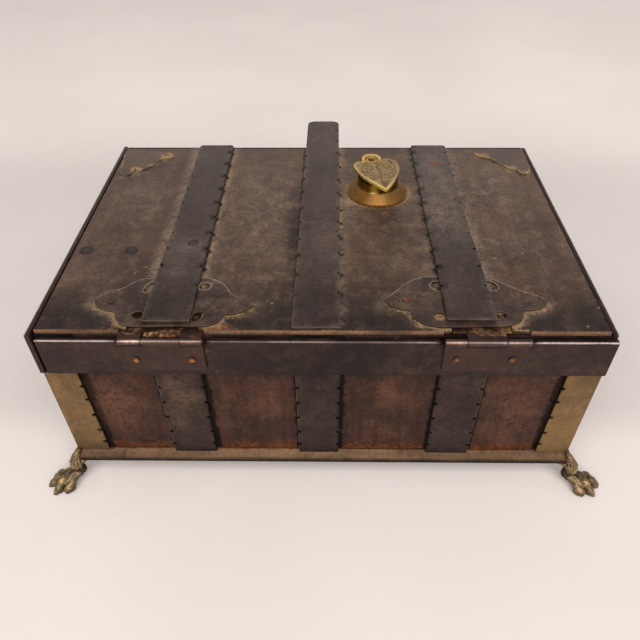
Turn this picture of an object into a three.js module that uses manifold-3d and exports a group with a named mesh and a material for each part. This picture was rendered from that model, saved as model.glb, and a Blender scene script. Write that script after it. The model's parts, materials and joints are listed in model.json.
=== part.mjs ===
// Iron strongbox bound with straps: sheet-iron walls and lid, a square-edged iron band round the mouth,
// brass corner plates, four brass paw feet, two butt hinges and a lock under the lid. The key goes down
// a brass barrel on the lid, which a swinging heart-shaped cover closes.
// Millimetres. +X runs along the hinge line, the hinges face -Y, the lock bolt faces +Y, +Z is up.
// Heights and plan positions below are measured from the middle of the band's top face (the datum);
// the last lines move the datum so that the model stands on z = 0, centred in plan.
import * as THREE from "three";
import { mergeVertices } from "three/addons/utils/BufferGeometryUtils.js";
import Module from "manifold-3d";

const wasm = await Module();
wasm.setup();

// ---------------------------------------------------------------- driving dimensions
const BAND_X = 120; // half length of the band round the mouth, outside
const BAND_Y = 81.85; // half depth of the band, outside
const BAND_T = 2.2;
const BAND_H = 21;
const BAND_TOP = { back: -1.5, left: 1.2, right: 0.4, front: -0.5 }; // each strip was set at its own height
const WALL_T = 1.5;
const WALL_X = 117.5; // half length of the walls, outside
const WALL_Y = 79.35;
const WALL_TOP = -0.4;
const FLOOR_TOP = -77.2; // inside floor = top of the pressed base
const WALL_BOTTOM = -76.95;
const BASE_X = 122.2; // half length of the base flange
const BASE_Y = 84.05;
const BASE_EDGE_TOP = -80.5;
const BASE_BOTTOM = -82;
const BASE_T = 1.5;
const GROUND = -96; // what the paws stand on
const GAP = 0.25; // paint-thick clearance between pieces that lie on each other

const LID_X = 116.6;
const LID_Y = 79.2;
const LID_Z0 = 0;
const LID_Z1 = 1.8;
const PALM_Z0 = 2.0; // pierced plates under the hinge straps
const PALM_Z1 = 2.8;
const STRAP_T = 1.3;
const STRAP_Z0 = 2.0;
const STRAP_LIFT = 1.0; // the side straps step up over the pierced plates
const TAB_END = 112; // far end of the middle strap, the lifting tab

const NICK_R = 1.1; // half width of the bites along the strap edges
const NICK_DEPTH = 1.6;

const PIN_Y = -82.8; // hinge axis
const PIN_Z = -0.6;
const KNUCKLE_R = 1.7;
const KNUCKLE_BORE = 1.0;
const PIN_R = 0.9;

const BOSS = [28.7, 28.7]; // key barrel
const BARREL_R = 10.5;
const BORE_R = 6.6;
const FLANGE_R = 16;
const BARREL_TOP = 13.6;
const COVER_Z0 = 14.5;
const COVER_Z1 = 16.0;
const COVER_PIVOT = [BOSS[0] - 3.35, BOSS[1] + 8.55];

const BOLT_X = 37.7; // lock bolt
const BOLT_W = 9;
const BOLT_Z0 = -7.2;
const BOLT_Z1 = -4.2;
const BOLT_TIP = 73.7; // drawn back; it shoots 5 mm towards +Y
const CASE = { x0: 15, x1: 47, y0: 15, y1: 73, z0: -11, t: 1.2 };

const SHIFT_Y = -8.25; // datum to the middle of the bounding box
const SHIFT_Z = -GROUND;

// ---------------------------------------------------------------- small geometry kit
const X = new THREE.Vector3(1, 0, 0),
  Y = new THREE.Vector3(0, 1, 0),
  Z = new THREE.Vector3(0, 0, 1);

function toSolid(geometry) {
  const g = geometry.clone();
  g.deleteAttribute("normal");
  g.deleteAttribute("uv");
  const m = mergeVertices(g, 1e-4);
  const tri = new Uint32Array(m.index.array);
  const made = new wasm.Manifold(
    new wasm.Mesh({ numProp: 3, vertProperties: new Float32Array(m.attributes.position.array), triVerts: tri }),
  );
  if (made.volume() >= 0) return made;
  for (let i = 0; i < tri.length; i += 3) [tri[i + 1], tri[i + 2]] = [tri[i + 2], tri[i + 1]];
  return new wasm.Manifold(
    new wasm.Mesh({ numProp: 3, vertProperties: new Float32Array(m.attributes.position.array), triVerts: tri }),
  );
}

function toGeometry(solid) {
  const m = solid.getMesh(),
    n = m.numProp,
    v = new Float32Array(m.numVert * 3);
  for (let i = 0; i < m.numVert; i++) v.set(m.vertProperties.subarray(i * n, i * n + 3), i * 3);
  const g = new THREE.BufferGeometry()
    .setAttribute("position", new THREE.BufferAttribute(v, 3))
    .setIndex(new THREE.BufferAttribute(new Uint32Array(m.triVerts), 1));
  const flat = g.toNonIndexed();
  flat.computeVertexNormals();
  return flat;
}

const join = (...list) => list.reduce((a, b) => a.add(b));
const cut = (a, ...list) => list.reduce((s, b) => s.subtract(b), a);

const shapeOf = (points, holes = []) => {
  const s = new THREE.Shape(points.map((p) => new THREE.Vector2(p[0], p[1])));
  for (const h of holes) s.holes.push(new THREE.Path(h.map((p) => new THREE.Vector2(p[0], p[1]))));
  return s;
};
const extrude = (points, depth, holes) =>
  new THREE.ExtrudeGeometry(shapeOf(points, holes), { depth, bevelEnabled: false, steps: 1 });

// outline in plan, from z0 up to z1
const slab = (points, z0, z1, holes) => toSolid(extrude(points, z1 - z0, holes).translate(0, 0, z0));
// outline in (x, z), from y0 to y1
const slabXZ = (points, y0, y1, holes) =>
  toSolid(
    extrude(points, y1 - y0, holes).applyMatrix4(
      new THREE.Matrix4().makeBasis(X, Z, Y.clone().negate()).setPosition(0, y1, 0),
    ),
  );
// outline in (y, z), from x0 to x1
const slabYZ = (points, x0, x1, holes) =>
  toSolid(extrude(points, x1 - x0, holes).applyMatrix4(new THREE.Matrix4().makeBasis(Y, Z, X).setPosition(x0, 0, 0)));

const rect = (x0, x1, y0, y1) => [
  [x0, y0],
  [x1, y0],
  [x1, y1],
  [x0, y1],
];
const box = (x0, x1, y0, y1, z0, z1) =>
  toSolid(new THREE.BoxGeometry(x1 - x0, y1 - y0, z1 - z0).translate((x0 + x1) / 2, (y0 + y1) / 2, (z0 + z1) / 2));
const circle = (cx, cy, r, n = 20, from = 0, to = 2 * Math.PI) => {
  const full = Math.abs(to - from - 2 * Math.PI) < 1e-9,
    m = full ? n : n + 1;
  return Array.from({ length: m }, (_, i) => {
    const a = from + ((to - from) * i) / n;
    return [cx + r * Math.cos(a), cy + r * Math.sin(a)];
  });
};
const post = (cx, cy, r, z0, z1, n = 20) => slab(circle(cx, cy, r, n), z0, z1);
// cylinder along X
const rod = (x0, x1, cy, cz, r, n = 16) => slabYZ(circle(cy, cz, r, n), x0, x1);
// cylinder along Y
const rodY = (y0, y1, cx, cz, r, n = 14) => slabXZ(circle(cx, cz, r, n), y0, y1);
// solid turned about the vertical through (cx, cy) from a profile of [radius, z]
const turned = (cx, cy, profile, n = 32) =>
  toSolid(
    new THREE.LatheGeometry(
      profile.map((p) => new THREE.Vector2(p[0], p[1])),
      n,
    )
      .rotateX(Math.PI / 2)
      .translate(cx, cy, 0),
  );

// the run from a to b (b itself left out) with rounded bites into the material on its left
function bitten(a, b, at, r = NICK_R, depth = NICK_DEPTH, n = 4) {
  const L = Math.hypot(b[0] - a[0], b[1] - a[1]),
    t = [(b[0] - a[0]) / L, (b[1] - a[1]) / L],
    m = [-t[1], t[0]];
  const out = [a];
  for (const s of [...at].sort((p, q) => p - q))
    for (let k = 0; k <= n; k++) {
      const w = (Math.PI * k) / n,
        u = s - r * Math.cos(w),
        d = depth * Math.sin(w);
      out.push([a[0] + t[0] * u + m[0] * d, a[1] + t[1] * u + m[1] * d]);
    }
  return out;
}
// smooth closed outline: runs of points, each run a curve, with a corner where two runs meet
function curved(runs, perSpan = 3) {
  const out = [];
  for (const run of runs) {
    if (run.length < 3) {
      out.push(...run.slice(0, -1));
      continue;
    }
    const c = new THREE.CatmullRomCurve3(
      run.map((p) => new THREE.Vector3(p[0], p[1], 0)),
      false,
      "centripetal",
    );
    const n = (run.length - 1) * perSpan;
    for (let i = 0; i < n; i++) {
      const p = c.getPoint(i / n);
      out.push([p.x, p.y]);
    }
  }
  return out;
}
// closed tube through rings of {p: centre, a: half width along side, b: half width across}
function loft(rings, side, n = 10) {
  const pos = [],
    idx = [];
  rings.forEach((r, i) => {
    const p = new THREE.Vector3(...r.p),
      before = new THREE.Vector3(...rings[Math.max(0, i - 1)].p),
      after = new THREE.Vector3(...rings[Math.min(rings.length - 1, i + 1)].p);
    const along = after.sub(before).normalize(),
      s = side.clone().addScaledVector(along, -side.dot(along)).normalize(),
      across = new THREE.Vector3().crossVectors(along, s);
    for (let k = 0; k < n; k++) {
      const w = (2 * Math.PI * k) / n;
      const q = p
        .clone()
        .addScaledVector(s, r.a * Math.cos(w))
        .addScaledVector(across, r.b * Math.sin(w));
      pos.push(q.x, q.y, q.z);
    }
  });
  const last = (rings.length - 1) * n;
  for (let i = 0; i + 1 < rings.length; i++)
    for (let k = 0; k < n; k++) {
      const a = i * n + k,
        b = i * n + ((k + 1) % n),
        c = a + n,
        d = b + n;
      idx.push(a, b, d, a, d, c);
    }
  for (let k = 1; k + 1 < n; k++) {
    idx.push(0, k + 1, k);
    idx.push(last, last + k, last + k + 1);
  }
  const g = new THREE.BufferGeometry().setAttribute("position", new THREE.Float32BufferAttribute(pos, 3));
  g.setIndex(idx);
  return toSolid(g);
}
const ball = (x, y, z, rx, ry, rz, turn = 0, w = 9, h = 6) =>
  toSolid(new THREE.SphereGeometry(1, w, h).rotateX(Math.PI / 2).scale(rx, ry, rz).rotateZ(turn).translate(x, y, z));

// ---------------------------------------------------------------- materials
const FINISH = {
  lid_iron: [0x5a4a42, 0.62, 0.55],
  strap_iron: [0x504a4c, 0.5, 0.6],
  band_iron: [0x3c3436, 0.42, 0.65],
  wall_iron: [0x4b322a, 0.6, 0.5],
  hinge_iron: [0x5a4640, 0.4, 0.7],
  rusty_iron: [0x8a4a22, 0.85, 0.2],
  base_brass: [0xa08464, 0.6, 0.4],
  plate_brass: [0x86683e, 0.5, 0.7],
  cast_brass: [0x826e4b, 0.42, 0.8],
  bright_brass: [0xaa7828, 0.28, 0.95],
  dull_brass: [0x96825f, 0.4, 0.85],
  spring_steel: [0x6a6a70, 0.35, 0.9],
};
const body = new THREE.Group();
const lid = new THREE.Group();
const cover = new THREE.Group();
const bolt = new THREE.Group();
function piece(group, name, solid, finish) {
  const [color, roughness, metalness] = FINISH[finish];
  const mesh = new THREE.Mesh(
    toGeometry(solid),
    new THREE.MeshStandardMaterial({ color, roughness, metalness, name: finish }),
  );
  mesh.name = name;
  group.add(mesh);
  return mesh;
}

// ---------------------------------------------------------------- base, pressed from one sheet with a bevelled flange
function frustum(x0, y0, z0, x1, y1, z1) {
  const v = [];
  for (const [x, y, z] of [
    [x0, y0, z0],
    [x1, y1, z1],
  ])
    v.push(-x, -y, z, x, -y, z, x, y, z, -x, y, z);
  const g = new THREE.BufferGeometry().setAttribute("position", new THREE.Float32BufferAttribute(v, 3));
  g.setIndex([
    0, 2, 1, 0, 3, 2, 4, 5, 6, 4, 6, 7, 0, 1, 5, 0, 5, 4, 1, 2, 6, 1, 6, 5, 2, 3, 7, 2, 7, 6, 3, 0, 4, 3, 4, 7,
  ]);
  return toSolid(g);
}
const BEVEL_X = 117.9,
  BEVEL_Y = 79.7; // top edge of the bevel
const baseShape = (grow = 0) =>
  join(
    frustum(BASE_X + grow, BASE_Y + grow, BASE_EDGE_TOP + grow * 0.4, BEVEL_X + grow, BEVEL_Y + grow, FLOOR_TOP + grow),
    box(-BASE_X - grow, BASE_X + grow, -BASE_Y - grow, BASE_Y + grow, BASE_BOTTOM - grow, BASE_EDGE_TOP + grow * 0.4),
  );
const STUD = [112, 74];
// hollow underneath, but solid at the corners where the feet are riveted
let hollow = join(
  frustum(BASE_X - 1.9, BASE_Y - 1.9, BASE_EDGE_TOP - 0.4, BEVEL_X - 1, BEVEL_Y - 1, FLOOR_TOP - BASE_T),
  box(-BASE_X + 1.9, BASE_X - 1.9, -BASE_Y + 1.9, BASE_Y - 1.9, BASE_BOTTOM - 1, BASE_EDGE_TOP - 0.2),
);
for (const sx of [-1, 1])
  for (const sy of [-1, 1]) hollow = cut(hollow, box(sx * 120 - 10, sx * 120 + 10, sy * 82 - 10, sy * 82 + 10, -90, -70));
let base = cut(baseShape(), hollow);
for (const sx of [-1, 1]) for (const sy of [-1, 1]) base = cut(base, post(sx * STUD[0], sy * STUD[1], 1.75, -90, -70, 12));
piece(body, "base_plate", base, "base_brass");

// ---------------------------------------------------------------- walls
// the front wall is slotted for the bolt; the band covers the slot from outside
piece(body, "wall_back", box(-WALL_X, WALL_X, -WALL_Y, -WALL_Y + WALL_T, WALL_BOTTOM, WALL_TOP), "wall_iron");
piece(
  body,
  "wall_front",
  cut(
    box(-WALL_X, WALL_X, WALL_Y - WALL_T, WALL_Y, WALL_BOTTOM, WALL_TOP),
    box(BOLT_X - 5.5, BOLT_X + 5.5, WALL_Y - 3, WALL_Y + 2, BOLT_Z0 - 0.8, BOLT_Z1 + 0.8),
  ),
  "wall_iron",
);
for (const [name, s] of [
  ["wall_left", -1],
  ["wall_right", 1],
])
  piece(
    body,
    name,
    box(
      Math.min(s * WALL_X, s * (WALL_X - WALL_T)),
      Math.max(s * WALL_X, s * (WALL_X - WALL_T)),
      -WALL_Y + WALL_T + GAP,
      WALL_Y - WALL_T - GAP,
      WALL_BOTTOM,
      WALL_TOP,
    ),
    "wall_iron",
  );

// ---------------------------------------------------------------- hinges
// The left hinge has its middle knuckle on the body leaf, the right hinge is turned over and has it on the lid leaf.
const HINGES = [
  { side: "left", x0: -81.9, x1: -47.8, m0: -72.4, m1: -56.8, leaf: [-80.8, -47.9], under: [-79, -50], rivets: [-76.3, -53.2], rz: -11, mid: "body" },
  { side: "right", x0: 49.8, x1: 84.2, m0: 58.6, m1: 74.3, leaf: [49.9, 83.2], under: [53, 77], rivets: [55.5, 78.3], rz: -9.9, mid: "lid" },
];
const LEAF_FRONT = -83.1,
  LEAF_BACK = -82.1,
  LEAF_BOTTOM = -17;
const NOTCH = 1.3; // the band is cut back this much past each end of a knuckle row

// ---------------------------------------------------------------- band round the mouth: four strips, butted at the corners
let backBand = box(-116.6, BAND_X, -BAND_Y, -BAND_Y + BAND_T, -BAND_H, BAND_TOP.back);
for (const h of HINGES) {
  backBand = cut(backBand, box(h.x0 - NOTCH, h.x1 + NOTCH, -BAND_Y - 1, -BAND_Y + BAND_T + 1, -3, 1));
  for (const x of h.rivets) backBand = cut(backBand, rodY(-BAND_Y - 1, -BAND_Y + BAND_T + 1, x, h.rz, 1.2, 12));
}
piece(body, "band_back", backBand, "band_iron");
piece(body, "band_left", box(-BAND_X, -BAND_X + BAND_T, -BAND_Y, BAND_Y, -BAND_H, BAND_TOP.left), "band_iron");
piece(body, "band_right", box(BAND_X - BAND_T, BAND_X, -BAND_Y + BAND_T + 0.4, BAND_Y, -BAND_H, BAND_TOP.right), "band_iron");
piece(body, "band_front", box(-BAND_X + BAND_T + GAP, BAND_X - BAND_T - GAP, BAND_Y - BAND_T, BAND_Y, -BAND_H, BAND_TOP.front), "band_iron");

// ---------------------------------------------------------------- brass corner plates, bitten along their free edges
const PLATE = { x: 119.2, y: 81.05, t: 1.15, w: 15.6, wTop: 14.4, z0: -76.85, z1: -BAND_H - 0.3 }; // narrower at the top
const PLATE_BITES = [-30.6, -39.5, -50.3, -61.7, -70.6].map((z) => z - PLATE.z0);
for (const [name, sx, sy] of [
  ["corner_plate_back_left", -1, -1],
  ["corner_plate_back_right", 1, -1],
  ["corner_plate_front_left", -1, 1],
  ["corner_plate_front_right", 1, 1],
]) {
  // one leg lies against the long wall, the other against the end wall
  const H = PLATE.z1 - PLATE.z0;
  const leg = (c) => [
    ...bitten([c - PLATE.wTop, PLATE.z1], [c - PLATE.w, PLATE.z0], PLATE_BITES.map((s) => H - s), 1.0, 1.65),
    [c - PLATE.w, PLATE.z0],
    [c, PLATE.z0],
    [c, PLATE.z1],
  ];
  const flip = (pts, s) => (s > 0 ? pts : pts.map((p) => [-p[0], p[1]]).reverse());
  const a = slabXZ(
    flip(leg(PLATE.x), sx),
    Math.min(sy * PLATE.y, sy * (PLATE.y - PLATE.t)),
    Math.max(sy * PLATE.y, sy * (PLATE.y - PLATE.t)),
  );
  const b = slabYZ(
    flip(leg(PLATE.y), sy),
    Math.min(sx * PLATE.x, sx * (PLATE.x - PLATE.t)),
    Math.max(sx * PLATE.x, sx * (PLATE.x - PLATE.t)),
  );
  piece(body, name, join(a, b), "plate_brass");
}

// ---------------------------------------------------------------- straps down the back and front walls
const WALL_BITES = [-30.9, -41, -51.5, -62, -71.5];
const WALL_STRAPS = [
  ["left", -71.5, -51.3],
  ["middle", -11.1, 8.2],
  ["right", 50.4, 70.7],
];
for (const [row, s] of [
  ["back", -1],
  ["front", 1],
])
  for (const [name, x0, x1] of WALL_STRAPS) {
    const z0 = -78.6,
      z1 = -BAND_H - 0.3;
    const outline = [
      ...bitten([x1, z0], [x1, z1], WALL_BITES.map((z) => z - z0)),
      [x1, z1],
      ...bitten([x0, z1], [x0, z0], WALL_BITES.map((z) => z1 - z)),
      [x0, z0],
    ];
    const yi = s * (WALL_Y + GAP),
      yo = s * (WALL_Y + GAP + 1.4);
    const face = slabXZ(outline, Math.min(yi, yo) - 0, Math.max(yi, yo) + 0);
    // its foot is filed to the slope of the base flange
    const profile = [
      [s * (WALL_Y + GAP - 1), -20],
      [s * (WALL_Y + 3), -20],
      [s * (WALL_Y + 3), -79],
      [s * (WALL_Y + GAP + 1.5), -78.05],
      [s * (WALL_Y + GAP), -76.95],
      [s * (WALL_Y + GAP - 1), -76.95],
    ];
    piece(body, `${row}_strap_${name}`, face.intersect(slabYZ(s > 0 ? profile : profile.reverse(), x0 - 1, x1 + 1)), "strap_iron");
  }

// ---------------------------------------------------------------- paw feet, cast in brass
// each is drawn in its own frame: d runs outwards from the base corner, s across it
for (const [name, sx, sy, degrees, out] of [
  ["paw_foot_back_left", -1, -1, 38, 0],
  ["paw_foot_back_right", 1, -1, 29, 0.8],
  ["paw_foot_front_left", -1, 1, 29, 0.8],
  ["paw_foot_front_right", 1, 1, 38, 0],
]) {
  const foot_turn = (degrees * Math.PI) / 180,
    c = Math.cos(foot_turn),
    q = Math.sin(foot_turn);
  const at = (d, s, z) => [sx * (BASE_X + d * c - s * q), sy * (BASE_Y + d * q + s * c), z];
  const side = new THREE.Vector3(-sx * q, sy * c, 0);
  const turn = Math.atan2(sy * q, sx * c);
  const leg = loft(
    [
      { p: at(-3.4, 0, -76.4), a: 1.2, b: 1.1 },
      { p: at(-2.3, 0, -77.9), a: 2.1, b: 1.8 },
      { p: at(-1.2 + out * 0.5, 0, -79.9), a: 2.8, b: 2.5 },
      { p: at(-0.9 + out, 0, -82.4), a: 3.2, b: 3.1 },
      { p: at(-1.0 + out, 0, -85.2), a: 3.5, b: 3.4 },
      { p: at(-0.9 + out, 0, -88.0), a: 3.7, b: 3.6 },
      { p: at(0.5 + out, 0, -91.0), a: 4.1, b: 3.7 },
      { p: at(3.6 + out * 0.5, 0, -93.1), a: 4.5, b: 3.3 },
      { p: at(8.0, 0, -93.7), a: 4.6, b: 2.5 },
    ],
    side,
    10,
  );
  const pads = [
    [6.0, 0, -92.3, 6.0, 5.3, 4.2],
    [6.4, -4.7, -93.4, 4.6, 2.4, 3.2],
    [10.6, -2.6, -93.4, 4.3, 2.3, 3.0],
    [10.4 + out * 0.6, 2.5, -93.4, 4.3, 2.2, 3.0],
    [6.3 + out, 4.3, -93.4, 4.2, 2.3, 3.1],
  ].map(([d, s, z, rd, rs, rz]) => ball(...at(d, s, z), rd, rs, rz, turn));
  const lugPath = [
    [sx * (BASE_X - 1), sy * (BASE_Y - 1)],
    [sx * STUD[0], sy * STUD[1]],
  ];
  const lugDir = [lugPath[1][0] - lugPath[0][0], lugPath[1][1] - lugPath[0][1]];
  const lugAng = Math.atan2(lugDir[1], lugDir[0]);
  const lug = slab(
    [
      ...circle(lugPath[1][0], lugPath[1][1], 3.3, 6, lugAng - Math.PI / 2, lugAng + Math.PI / 2),
      ...circle(lugPath[0][0], lugPath[0][1], 3.3, 6, lugAng + Math.PI / 2, lugAng + 1.5 * Math.PI),
    ],
    -84.4,
    BASE_BOTTOM - GAP,
  );
  const stud = post(sx * STUD[0], sy * STUD[1], 1.35, -83.4, FLOOR_TOP + 0.9, 12);
  let foot = join(leg, lug, ...pads);
  foot = cut(
    foot,
    baseShape(GAP),
    box(-PLATE.x - GAP, PLATE.x + GAP, -PLATE.y - GAP, PLATE.y + GAP, -77.4, -20),
    box(-200, 200, -200, 200, GROUND - 20, GROUND),
  );
  piece(body, name, join(foot, stud), "cast_brass");
}

// ---------------------------------------------------------------- hinge leaves, pins and rivets
for (const h of HINGES) {
  const g = 0.2,
    ends = [
      [h.x0, h.m0 - g],
      [h.m1 + g, h.x1],
    ],
    mid = [h.m0, h.m1];
  const bodyKnuckles = h.mid === "body" ? [mid] : ends,
    lidKnuckles = h.mid === "body" ? ends : [mid];
  const bore = rod(h.x0 - 1, h.x1 + 1, PIN_Y, PIN_Z, KNUCKLE_BORE, 14);
  const barrel = (a, b) => rod(a, b, PIN_Y, PIN_Z, KNUCKLE_R, 18);

  let leaf = slabXZ(
    [
      [h.leaf[0] + (h.side === "left" ? 1.4 : 0.3), LEAF_BOTTOM],
      [h.leaf[1] - (h.side === "left" ? 0.0 : 1.6), LEAF_BOTTOM],
      [h.leaf[1], -3.1],
      [h.leaf[0], -3.1],
    ],
    LEAF_FRONT,
    LEAF_BACK,
  );
  for (const k of bodyKnuckles)
    leaf = join(
      leaf,
      barrel(...k),
      box(Math.max(k[0], h.leaf[0]), Math.min(k[1], h.leaf[1]), LEAF_FRONT, LEAF_BACK, -3.4, PIN_Z - 0.9),
    );
  leaf = cut(leaf, bore, ...h.rivets.map((x) => rodY(-90, -80, x, h.rz, 1.2, 12)));
  piece(body, `hinge_body_leaf_${h.side}`, leaf, "hinge_iron");

  // the lid leaf runs in over the band, let into the lid's edge and hidden by the pierced plate
  const L0 = 0.2,
    L1 = PIN_Z + KNUCKLE_R;
  let top = box(...h.under, -79.0, -68, L0, L1);
  for (const k of lidKnuckles) {
    const a = Math.max(k[0], h.x0 + 0.0),
      b = Math.min(k[1], h.x1);
    top = join(top, barrel(...k), box(a, b, PIN_Y, -78.4, L0, L1));
  }
  top = cut(top, bore);
  piece(lid, `hinge_lid_leaf_${h.side}`, top, "hinge_iron");

  piece(body, `hinge_pin_${h.side}`, rod(h.x0 + 0.1, h.x1 - 0.1, PIN_Y, PIN_Z, PIN_R, 14), "spring_steel");
  h.rivets.forEach((x, i) =>
    piece(
      body,
      `hinge_rivet_${h.side}_${i + 1}`,
      join(
        rodY(-83.15, -79.8, x, h.rz, 0.95, 12),
        rodY(-83.6, -83.13, x, h.rz, 1.6, 12),
        rodY(-83.85, -83.58, x, h.rz, 0.9, 12),
      ),
      "rusty_iron",
    ),
  );
}

// ---------------------------------------------------------------- lid plate
const PLUGS = [
  [-110.9, -24.6],
  [-89.7, -24.5],
  [-60.9, -21.2],
];
const EAR_X = [3.2, 56.4],
  EAR_Y = 44; // the lock case's ears end under the middle and right straps
let lidPlate = box(-LID_X, LID_X, -LID_Y, LID_Y, LID_Z0, LID_Z1);
for (const h of HINGES)
  lidPlate = cut(
    lidPlate,
    box(h.x0 - 0.4, h.x1 + 0.4, -LID_Y - 1, -78.1, LID_Z0 - 1, LID_Z1 + 1),
    box(h.under[0] - 0.3, h.under[1] + 0.3, -LID_Y - 1, -67.7, LID_Z0 - 1, LID_Z1 + 1),
  );
for (const [x, y] of PLUGS) lidPlate = cut(lidPlate, post(x, y, 2.65, -3, 5, 16));
for (const x of EAR_X) lidPlate = cut(lidPlate, post(x, EAR_Y, 1.25, -3, 5, 12));
lidPlate = cut(lidPlate, post(BOSS[0], BOSS[1], 8.3, -3, 5, 28));
piece(lid, "lid_plate", lidPlate, "lid_iron");

// ---------------------------------------------------------------- pierced plates under the hinge ends of the side straps
const PALMETTES = {
  left: {
    runs: [
      [[-53, -45.6], [-74.3, -46.7]],
      [[-74.3, -46.7], [-79, -46.9], [-82.4, -49.2], [-86, -53.0], [-90.4, -55.0], [-94.3, -57.8], [-96.6, -61.9]],
      [[-96.6, -61.9], [-95.4, -64.0], [-91.3, -67], [-85.9, -68.7]],
      [[-85.9, -68.7], [-85.2, -72], [-81.9, -75.9], [-78.6, -77.2], [-74.8, -77.5]],
      [[-74.8, -77.5], [-55.6, -77.1]],
      [[-55.6, -77.1], [-50, -77.3], [-45.1, -76.3], [-41.2, -73.2], [-40.2, -70]],
      [[-40.2, -70], [-36.5, -69.6], [-32.6, -68.0], [-28.4, -64.2]],
      [[-28.4, -64.2], [-30.6, -62.2], [-34.5, -60.1], [-38.6, -56.6], [-41.6, -51.8], [-44.6, -48.6], [-48.4, -46.6], [-53, -45.6]],
    ],
    holes: [
      curved([[[-73.0, -46.9 - 1.2], [-75.0, -49.6], [-77.2, -54.4], [-76.2, -56.3], [-74.2, -55.4], [-72.6, -51.4], [-73.0, -48.1]]], 2),
      circle(-76.0, -70.9, 2.4, 12),
      circle(-50.9, -51.9, 2.5, 12),
      curved([[[-52.4, -69.0], [-49.4, -68.8], [-48.6, -70.6], [-50.6, -74.4], [-52.6, -74.6], [-53.4, -72.2], [-52.4, -69.0]]], 2),
    ],
    rivets: [
      [-89.4, -62.2],
      [-42.6, -64.5],
    ],
  },
  right: {
    runs: [
      [[72.8, -45.7], [49.5, -44.0]],
      [[49.5, -44.0], [43.6, -45.1], [37.4, -48.7], [32.2, -54.1], [26.7, -60.2]],
      [[26.7, -60.2], [28.6, -63.7], [32.2, -66.1], [37.3, -67.1]],
      [[37.3, -67.1], [38.2, -71.4], [41.6, -75.0], [46.6, -76.9], [50.6, -77.2]],
      [[50.6, -77.2], [72.6, -76.6]],
      [[72.6, -76.6], [77.2, -75.8], [81.8, -73.0], [84.3, -66.8]],
      [[84.3, -66.8], [89.9, -66.1], [93.6, -64.0], [95.9, -60.6]],
      [[95.9, -60.6], [93.3, -58.1], [89.2, -56.1], [83.6, -52.4], [78, -47.9], [72.8, -45.7]],
    ],
    holes: [
      curved([[[50.6, -47.8], [48.4, -48.6], [47.4, -51.4], [49.6, -54.4], [52.2, -53.8], [52.8, -50.4], [50.6, -47.8]]], 2),
      circle(48.7, -71.0, 2.5, 12),
      curved([[[71.6, -47.6], [74.2, -48.2], [76.2, -51.0], [75.8, -53.6], [73.4, -54.2], [71.6, -51.4], [71.6, -47.6]]], 2),
      circle(74.2, -70.0, 2.3, 12),
    ],
    rivets: [
      [36.2, -60.6],
      [81.7, -57.2],
    ],
  },
};
for (const [sideName, p] of Object.entries(PALMETTES)) {
  let plate = slab(curved(p.runs, 3), PALM_Z0, PALM_Z1, p.holes);
  for (const [x, y] of p.rivets) plate = cut(plate, post(x, y, 1.5, 0, 6, 12));
  piece(lid, `palmette_${sideName}`, plate, "strap_iron");
  p.rivets.forEach(([x, y], i) =>
    piece(
      lid,
      `palmette_rivet_${sideName}_${i + 1}`,
      join(post(x, y, 1.25, PALM_Z0 - 0.05, PALM_Z1 + 0.1, 12), post(x, y, 1.75, PALM_Z1 + 0.08, PALM_Z1 + 0.35, 12)),
      "rusty_iron",
    ),
  );
}

// ---------------------------------------------------------------- straps over the lid
const SIDE_BITES = [70.4, 56.7, 43, 29.3, 15.7, 2, -11.7, -25.3, -39, -52.7];
for (const [name, x0, x1, yNear] of [
  ["lid_strap_left", -73.2, -53.5, -75.9],
  ["lid_strap_right", 51.2, 71.5, -74.2],
]) {
  const yFar = 79.3;
  const outline = [
    ...bitten([x1, yNear], [x1, yFar - 1.8], SIDE_BITES.map((y) => y - yNear)),
    [x1, yFar - 1.8],
    [x1 - 0.55, yFar - 0.5],
    [x1 - 1.8, yFar],
    [x0 + 1.8, yFar],
    [x0 + 0.55, yFar - 0.5],
    ...bitten([x0, yFar - 1.8], [x0, yNear], SIDE_BITES.map((y) => yFar - 1.8 - y)),
    [x0, yNear],
  ];
  const u = STRAP_LIFT;
  const profile = [
    [yNear - 1, STRAP_Z0 + u],
    [-43.2, STRAP_Z0 + u],
    [-40.2, STRAP_Z0],
    [yFar + 1, STRAP_Z0],
    [yFar + 1, STRAP_Z0 + STRAP_T],
    [-40.8, STRAP_Z0 + STRAP_T],
    [-43.8, STRAP_Z0 + STRAP_T + u],
    [yNear - 1, STRAP_Z0 + STRAP_T + u],
  ];
  let strap = slab(outline, 0, 8).intersect(slabYZ(profile, x0 - 1, x1 + 1));
  if (name === "lid_strap_left") strap = cut(strap, post(PLUGS[2][0], PLUGS[2][1], 2.65, 0, 8, 16));
  piece(lid, name, strap, "strap_iron");
}
{
  // the middle strap lies a little askew and runs on past the lid as the tab the lid is lifted by
  const L = (y) => -11.9 + ((y + 78.4) * 1.5) / 157.9,
    R = (y) => 7.6 + ((y + 78.4) * 1.3) / 157.9;
  const r = 4.2,
    e = TAB_END;
  const left = [96.2, 80.7, 66, 52.3, 39.3, 26.3, 10.5, -2.3, -16.7, -30.1, -44.2, -57.8],
    right = [99.4, 84.5, 69.6, 55.7, 38.5, 24.8, 10.5, -1.5, -14.2, -27.8, -42.6, -56.3];
  const outline = [
    ...bitten([R(-78.4), -78.4], [R(e - r), e - r], right.map((y) => y + 78.4), 0.95, 1.25),
    ...circle(R(e - r) - r, e - r, r, 4, 0, Math.PI / 2),
    ...circle(L(e - r) + r, e - r, r, 4, Math.PI / 2, Math.PI).slice(0, -1),
    ...bitten([L(e - r), e - r], [L(-78.4), -78.4], left.map((y) => e - r - y), 0.95, 1.25),
    [L(-78.4), -78.4],
  ];
  piece(lid, "lid_strap_middle", slab(outline, STRAP_Z0, STRAP_Z0 + STRAP_T), "strap_iron");
}

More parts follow.
